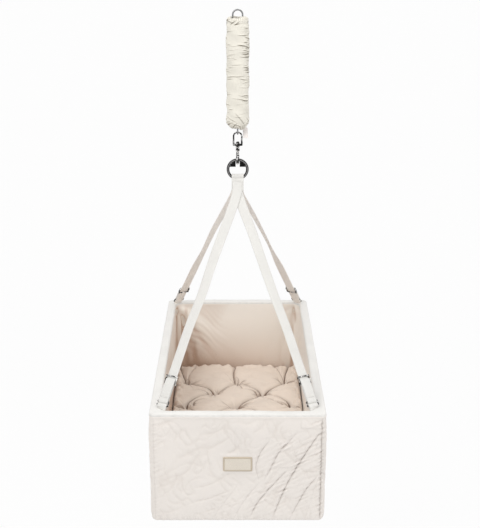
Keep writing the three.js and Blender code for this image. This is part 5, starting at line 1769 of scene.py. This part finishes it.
def crease_arcs(tufts, half_x, half_y):
    """Curved lines that join each tuft to its diagonal neighbours, and run from the outer ones out.

    Each line bows to the rear by a share of its length, as the stuffing pushes it.
    """
    rng = np.random.default_rng(61)
    arcs = []
    for i, first in enumerate(tufts):
        for second in tufts[i + 1 :]:
            gap = second - first
            if 60 * MM < abs(gap[0]) < 90 * MM and abs(gap[1]) < 90 * MM:
                arcs.append((first, second, rng.uniform(-0.02, 0.24), rng.uniform(0.5, 1.15), 0.6))
                down = np.array([0, -rng.uniform(14, 30) * MM])
                ends = first + rng.uniform(0.1, 0.3) * gap + down, first + rng.uniform(0.6, 1.0) * gap + down
                arcs.append((*ends, rng.uniform(0, 0.3), rng.uniform(0.3, 0.85), 0.15))
    for spot in tufts:
        if abs(spot[0]) > 100 * MM:
            edge = np.array([math.copysign(half_x + 4 * MM, spot[0]), spot[1] + rng.uniform(-20, 34) * MM])
            arcs.append((spot, edge, rng.uniform(-0.15, 0.2), 0.8, 0.4))
        if abs(spot[1]) > 220 * MM:
            out = math.copysign(half_y + 4 * MM, spot[1])
            side = round(spot[0] / (100 * MM))
            for lean, strength in ((side, 1.05), (-side, 0.35)):
                edge = np.array([spot[0] + lean * rng.uniform(14, 34) * MM, out])
                arcs.append((spot, edge, rng.uniform(-0.06, 0.1), strength, 0.7))
        for _ in range(4):
            turn = rng.uniform(0, TURN)
            end = spot + rng.uniform(26, 62) * MM * np.array([math.cos(turn), math.sin(turn)])
            arcs.append((spot, end, rng.uniform(-0.2, 0.3), rng.uniform(0.4, 0.8), 0.0))
    return arcs


def arc_points(first, second, bow, count=9):
    """Points along one bowed line: the chord plus a parabola to its rear side."""
    share = np.linspace(0, 1, count)[:, None]
    gap = second - first
    side = np.array([-gap[1], gap[0]])
    side *= 1 if side[1] >= 0 else -1
    return first + share * gap + 4 * bow * share * (1 - share) * side


def away_from_line(x, y, line):
    """Distance to a line of points, above 0 behind it, and the share of its length at the nearest spot."""
    near, place, side = np.full(x.shape, 1.0), np.zeros(x.shape), np.ones(x.shape)
    steps = len(line) - 1
    for k in range(steps):
        a, b = line[k], line[k + 1]
        gap = b - a
        along = np.clip(((x - a[0]) * gap[0] + (y - a[1]) * gap[1]) / (gap @ gap), 0, 1)
        distance = np.hypot(x - a[0] - along * gap[0], y - a[1] - along * gap[1])
        closer = distance < near
        near = np.where(closer, distance, near)
        place = np.where(closer, (k + along) / steps, place)
        behind = (gap[0] * (y - a[1]) - gap[1] * (x - a[0])) * math.copysign(1, gap[0])
        side = np.where(closer, np.where(behind < 0, -1, 1), side)
    return near * side, place


def build_pad():
    """The tufted pad: two crowned faces that meet in a seam, the upper one pulled in at its tufts.

    Top = crown x (thickness + puff of each panel) - tufts - creases + soft wrinkles, where a panel
    swells with the distance to its nearest crease.
    """
    box_low, box_high = corners_of("mattress")
    half_x, half_y = box_high[:2] + np.array([2.2, -0.8]) * MM
    centre_y = (box_low[1] + box_high[1]) / 2
    columns, rows = 214, 392
    bow_x, bow_y = 0.62 * math.pi / 2, 0.40 * math.pi / 2
    u = np.sin(np.linspace(-bow_x, bow_x, columns))[None, :] / math.sin(bow_x)
    v = np.sin(np.linspace(-bow_y, bow_y, rows))[:, None] / math.sin(bow_y)
    x, y = np.broadcast_arrays(half_x * u, half_y * v)
    x, y = round_corners(x, y, half_x, half_y, 46 * MM)
    tufts = tuft_points(centre_y)
    near, gap, tuft_gap = (np.full(x.shape, 1.0) for _ in range(3))
    crease, drawn, overlap, pleats = (np.zeros(x.shape) for _ in range(4))
    for first, second, bow, strength, far in crease_arcs(tufts, half_x, half_y):
        signed, place = away_from_line(x, y, arc_points(first, second, bow))
        distance = np.abs(signed)
        if far > 0:
            near = np.minimum(near, distance + 9 * MM * (1.2 - strength))
        middle = 1 - 2 * np.abs(place - 0.5)
        ends = strength * np.clip(1 - (1 - far) * place - 0.45 * far * middle, 0, 1)
        crease = np.maximum(crease, ends * bump(distance, 2.0 * MM, power=1.4))
        overlap -= np.sign(signed) * ends * np.exp(-distance / (8 * MM)) * smooth(0, 1.5 * MM, distance)
        flat = abs(second[0] - first[0]) / np.linalg.norm(second - first)
        signed = signed * (1 - 0.6 * flat)
        closer = np.abs(signed) < np.abs(gap)
        gap, drawn = np.where(closer, signed, gap), np.where(closer, ends, drawn)
    rng = np.random.default_rng(62)
    for spot in tufts:
        distance = np.hypot(x - spot[0], y - spot[1])
        angle = np.arctan2(y - spot[1], x - spot[0])
        tuft_gap = np.minimum(tuft_gap, distance)
        star = np.cos(rng.integers(6, 10) * angle + rng.uniform(0, TURN) + rng.uniform(-1, 1) * distance * 60)
        star = star + 0.7 * np.cos(rng.integers(11, 15) * angle + rng.uniform(0, TURN))
        pleats += star * bump(distance, 17 * MM, 14 * MM) * smooth(3 * MM, 10 * MM, distance)
    edge = np.minimum(half_x - np.abs(x), half_y - np.abs(y))
    crown = (1 - np.clip(1 - edge / (17 * MM), 0, 1) ** 2.6) ** 0.5
    panel = 1 - bump(near, 10 * MM, power=0.9)
    wide_panel = 1 - bump(near, 34 * MM, power=1.2)
    wrinkles = ripple(63, 16, (x, 20, 100), (y, 20, 100))
    creased = np.exp(-np.abs(ripple(64, 10, (x, 20, 60), (y, 25, 110))) * 4)
    tall = box_high[2] - box_low[2]
    seam = box_low[2] + 0.52 * tall
    settings = sizes()
    lift = tall - (seam - box_low[2]) - 12 * MM + 9 * MM * panel + 6 * MM * wide_panel
    lift = lift - settings.pad_tuft * bump(tuft_gap, 11 * MM, power=1.1)
    lift = lift - settings.pad_crease * crease + 1.5 * MM * pleats + 2.4 * MM * np.tanh(overlap)
    lift = lift + 1.3 * MM * wrinkles * panel - 0.6 * MM * creased * panel
    lift = lift + 2.6 * MM * ripple(65, 16, (x, 90, 260), (y, 90, 260)) * smooth(30 * MM, 8 * MM, edge)
    upper = seam + crown * np.clip(lift, 4 * MM, box_high[2] - seam + 4 * MM)
    wavy = 1.1 * MM * ripple(66, 10, (x, 60, 200), (y, 60, 200)) * smooth(14 * MM, 0, edge)
    top = np.stack([x, y + wavy, upper], axis=-1)
    rim = rim_of(rows, columns)
    ring = top.reshape(-1, 3)[rim]
    shares = np.array([1.0, 0.985, 0.96, 0.90, 0.6, 0.3, 0.003])
    fall = np.array([0.25, 0.55, 0.8, 1, 1, 1, 1]) * (seam - box_low[2] - 0.4 * MM)
    under = ring[None] * np.stack([shares, shares, np.ones(UNDER)], axis=1)[:, None]
    under[..., 2] = seam - fall[:, None]
    points = np.vstack([top.reshape(-1, 3), under.reshape(-1, 3)])
    count, round_count = rows * columns, len(rim)
    rings = np.vstack([rim, count + np.arange(UNDER * round_count).reshape(UNDER, round_count)])
    following = np.roll(rings, -1, axis=1)
    skirts = np.stack([rings[:-1], rings[1:], following[1:], following[:-1]], axis=-1).reshape(-1, 4)
    faces = np.vstack([grid_faces(rows, columns), skirts])
    last = rings[-1].tolist()
    if is_inside_out(points, faces):
        faces, last = faces[:, ::-1], last[::-1]
    # Painted shade at the creases, in the hollows round the tufts and in small wrinkles; drawn sets how
    # strong the painted dark line along each crease is.
    dark = np.clip(0.26 * crease + 0.35 * bump(tuft_gap, 6 * MM) + 0.08 * creased * panel, 0, 1)
    gap, drawn = np.clip(gap, -0.02, 0.02), np.clip(1.5 * drawn, 0, 1)
    values, below = {}, (0, UNDER * round_count)
    for key, value, rest in (("crease", dark, 0), ("gap", gap, 0.02), ("seam", drawn, 0)):
        values[key] = np.pad(value.ravel(), below, constant_values=rest)
    flat = points[:, :2]
    order = [*faces.ravel(), *last]
    piece = shaped("tufted_pad", points, [*faces.tolist(), last], flat[order], values)
    # The near-black line colour is painted shade along the creases.
    finish = sewn_cotton("pad_cotton", paint("pad"), (0.17, 0.085, 0.045), 0.9, 0.4, 1.5)
    buttons = [piece]
    piece.data.materials.append(finish)
    thread = thread_finish("tuft_thread", tint(paint("pad"), 0.7))
    for spot_x, spot_y in tufts:
        spot = int(np.argmin(np.hypot(x - spot_x, y - spot_y)))
        height = float(upper.ravel()[spot])
        ties = np.array([[spot_x, spot_y, height + 0.5 * MM], [spot_x, spot_y, height + 0.9 * MM]])
        ways = np.array([[0.8, 0.6, 0], [0.7, -0.7, 0]])
        buttons.append(stitches(ties, ways, UP, 7 * MM, thread, 1.2 * MM))
    whole = fuse("tufted_pad_sewn", buttons)
    finish_piece(whole, None, "mattress", "mattress")
    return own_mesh(whole)


# Stage: floor, light and camera, with the camera as fitted to the photograph

LENS, SHIFT = 73.36, 0.0044  # focal length for a 36 mm sensor, sideways shift as a share of its width
CAMERA_PLACE = (0, -2.718, 0.2238)
LOOK_DOWN = 17.97  # degrees below level


def build_stage():
    """A pale floor under the hanging box that curves up into a backdrop, carried along a profile."""
    floor = low("outer_cover")[2] - 0.9
    bend, back, tall = 1.2, 2.4, 4.2
    angle = np.linspace(0, math.pi / 2, 20)
    y = np.concatenate([[-5.5, -2.0, 0.0], back + bend * np.sin(angle), [back + bend]])
    z = np.concatenate([np.zeros(3), bend * (1 - np.cos(angle)), [tall]]) + floor
    x = np.linspace(-6, 6, 9)
    piece = skin("studio_floor", meet(x[None, :], y[:, None], z[:, None]), wrap=False)
    finish = Finish("studio_floor")
    dust = finish.noise(finish.place(), 3.0, 3.0)
    finish.surface(base_color=finish.blend(dust, (0.88, 0.88, 0.88), (0.9, 0.9, 0.9)), roughness=0.85)
    path = finish.node("ShaderNodeLightPath")
    seen = path[0].most(path[3]).most(path[6]) * 0.92
    glow = finish.node("ShaderNodeEmission", None, {"Color": (1, 1, 1), "Strength": 1.0})[0]
    output = finish.tree.nodes["Material Output"]
    mixed = finish.node("ShaderNodeMixShader", None, [seen, Value(finish, finish.shader.outputs[0]), glow])[0]
    finish.put(output.inputs["Surface"], mixed)
    piece.data.materials.append(finish.material)
    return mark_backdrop(piece)


def build_light():
    """An even pale sky, a large soft lamp from the upper left and a weak one from the right."""
    world = bpy.data.worlds.new("studio")
    world.use_nodes = True
    bpy.context.scene.world = world
    nodes, links = world.node_tree.nodes, world.node_tree.links
    sky = nodes["Background"]
    sky.inputs["Color"].default_value = (1, 1, 1, 1)
    sky.inputs["Strength"].default_value = 0.66
    white = nodes.new("ShaderNodeBackground")
    white.inputs["Color"].default_value = (1, 1, 1, 1)
    path, mix = nodes.new("ShaderNodeLightPath"), nodes.new("ShaderNodeMixShader")
    seen = nodes.new("ShaderNodeMath")
    seen.operation = "ADD"
    seen.use_clamp = True
    either = nodes.new("ShaderNodeMath")
    either.operation = "MAXIMUM"
    for source, target in (
        (path.outputs["Is Camera Ray"], seen.inputs[0]),
        (path.outputs["Is Transmission Ray"], seen.inputs[1]),
        (seen.outputs[0], either.inputs[0]),
        (path.outputs["Is Glossy Ray"], either.inputs[1]),
        (either.outputs[0], mix.inputs[0]),
        (sky.outputs[0], mix.inputs[1]),
        (white.outputs[0], mix.inputs[2]),
        (mix.outputs[0], nodes["World Output"].inputs["Surface"]),
    ):
        links.new(source, target)
    lamps = (
        ("key", (-1.7, -2.5, 2.0), (0, 0, -0.9), 1.9, 54),
        ("top", (0.5, -0.7, 2.6), (0, 0, -0.9), 1.6, 30),
        ("fill", (2.6, -1.6, -0.2), (0, 0, -0.8), 2.4, 17),
    )
    for name, place, aim, size, power in lamps:
        data = bpy.data.lights.new(name, "AREA")
        data.shape, data.size, data.energy = "DISK", size, power
        lamp = bpy.data.objects.new(name, data)
        bpy.context.scene.collection.objects.link(lamp)
        aim_lamp(lamp, place, aim)


def aim_lamp(lamp, place, aim):
    """Turns a lamp at a place so that it shines at a point."""
    way = unit(np.array(aim, float) - np.array(place, float))
    lamp.location = place
    lamp.rotation_euler = (math.acos(-way[2]), 0, math.atan2(way[1], way[0]) - math.pi / 2)


def build_camera():
    """The photograph's view: 18 degrees down from the front, with a long lens."""
    data = bpy.data.cameras.new("camera")
    data.lens, data.sensor_width, data.shift_x, data.clip_end = LENS, 36, SHIFT, 60
    camera = bpy.data.objects.new("camera", data)
    camera.location = CAMERA_PLACE
    camera.rotation_euler = (math.radians(90 - LOOK_DOWN), 0, 0)
    bpy.context.scene.collection.objects.link(camera)
    bpy.context.scene.camera = camera
    bpy.context.scene.view_settings.view_transform = "Standard"


# Operators, one for each group of pieces


class CRADLE_OT_stage(Operator):
    """Put up the floor, the light and the camera"""

    bl_idname = "cradle.stage"
    bl_label = "Stage"

    def execute(self, context):
        build_camera()
        build_stage()
        build_light()
        return {"FINISHED"}


class CRADLE_OT_spring(Operator):
    """Make the coil spring, its plugs and cord, and the two wire hooks"""

    bl_idname = "cradle.spring"
    bl_label = "Spring and hooks"

    def execute(self, context):
        black = cast_metal("blackened_steel", (0.09, 0.09, 0.095), 0.38, 0.5)
        build_wire_hook("top_hook", "spring_top_hook", "hanger", RIGHT, BACK, 1)
        build_plug("top_plug", "spring_top_plug", "hanger", 1, black)
        build_coil()
        build_cord()
        build_plug("bottom_plug", "spring_bottom_plug", "spring_end", -1, black)
        build_wire_hook("bottom_hook", "spring_bottom_hook", "spring_end", BACK, RIGHT, -1)
        return {"FINISHED"}


class CRADLE_OT_sleeve(Operator):
    """Make the gathered sleeve and its bare tag"""

    bl_idname = "cradle.sleeve"
    bl_label = "Sleeve"

    def execute(self, context):
        build_sleeve()
        build_tag(cotton("tag_cotton", (0.88, 0.83, 0.80), 0.45 * MM, 0.3))
        return {"FINISHED"}


class CRADLE_OT_swivel(Operator):
    """Make the swivel, the snap hook and its gate"""

    bl_idname = "cradle.swivel"
    bl_label = "Swivel hook"

    def execute(self, context):
        nickel = cast_metal("nickel", paint("nickel"), 0.2, 0.6)
        # The bow takes a darker copy of the nickel: painted dark reflection on the same plated metal.
        build_bow(cast_metal("bow_nickel", tint(paint("nickel"), 0.45), 0.24, 0.5))
        build_pin(nickel)
        build_snap_hook(nickel)
        build_gate(nickel, bpy.data.materials["wire_steel"], bpy.data.materials["spring_wire"])
        return {"FINISHED"}


class CRADLE_OT_webbing(Operator):
    """Make the ring, its loop, the straps, their buckles and the corner tabs"""

    bl_idname = "cradle.webbing"
    bl_label = "Ring and straps"

    def execute(self, context):
        dark = cast_metal("dark_nickel", paint("dark_nickel"), 0.24, 0.5, middle_of("hanger_ring")[2])
        buckle = cast_metal("buckle_nickel", tint(paint("nickel"), 0.8), 0.22, 0.5)
        webbing = webbing_finish("webbing", paint("webbing"))
        # The rear straps and tabs take the lighter copy of the webbing: painted light.
        lit_webbing = webbing_finish("webbing_aged", paint("webbing_rear"))
        thread = thread_finish("sewing_thread", paint("thread"))
        build_ring(dark)
        build_loop(webbing, thread)
        for corner in CORNERS:
            line = strap_line(corner)
            tape = webbing if SIDES[corner][1] < 0 else lit_webbing
            build_strap(corner, line, tape)
            build_return(corner, line, tape, thread)
            build_slider(corner, line, buckle)
            build_anchor_ring(corner, line, buckle)
            build_tab(corner, line, tape, thread)
        return {"FINISHED"}


class CRADLE_OT_box(Operator):
    """Make the quilted cover, the rim, the liner, the patch and the boards' finish"""

    bl_idname = "cradle.box"
    bl_label = "Fabric box"

    def execute(self, context):
        build_cover()
        build_rim()
        build_liner()
        build_patch(thread_finish("patch_thread", tint(paint("patch"), 0.7)))
        boards = plywood()
        for name in ("board_left", "board_right", "board_front", "board_rear", "base_board"):
            for slot in frame["nodes"][name].material_slots:
                slot.material = boards
        return {"FINISHED"}


class CRADLE_OT_pad(Operator):
    """Make the tufted pad"""

    bl_idname = "cradle.pad"
    bl_label = "Tufted pad"

    def execute(self, context):
        build_pad()
        return {"FINISHED"}


OPERATORS = (
    CRADLE_OT_stage,
    CRADLE_OT_spring,
    CRADLE_OT_sleeve,
    CRADLE_OT_swivel,
    CRADLE_OT_webbing,
    CRADLE_OT_box,
    CRADLE_OT_pad,
)


class CRADLE_PT_build(Panel):
    """Lists the steps that build the cradle, and its sizes and colours"""

    bl_idname = "CRADLE_PT_build"
    bl_label = "Hanging cradle"
    bl_space_type = "VIEW_3D"
    bl_region_type = "UI"
    bl_category = "Cradle"

    def draw(self, context):
        for operator in OPERATORS:
            self.layout.operator(operator.bl_idname)
        for group in (context.scene.cradle_sizes, context.scene.cradle_colours):
            for name in group.__annotations__:
                self.layout.prop(group, name)


CLASSES = (CradleSizes, CradleColours, *OPERATORS, CRADLE_PT_build)


def register():
    """Adds the classes and the two groups of settings."""
    for kind in CLASSES:
        bpy.utils.register_class(kind)
    bpy.types.Scene.cradle_sizes = PointerProperty(type=CradleSizes)
    bpy.types.Scene.cradle_colours = PointerProperty(type=CradleColours)


def unregister():
    """Takes out what register added."""
    del bpy.types.Scene.cradle_sizes
    del bpy.types.Scene.cradle_colours
    for kind in reversed(CLASSES):
        bpy.utils.unregister_class(kind)


def main():
    """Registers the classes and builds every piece."""
    register()
    for operator in OPERATORS:
        group, name = operator.bl_idname.split(".")
        getattr(getattr(bpy.ops, group), name)()


if __name__ == "__main__":
    main()
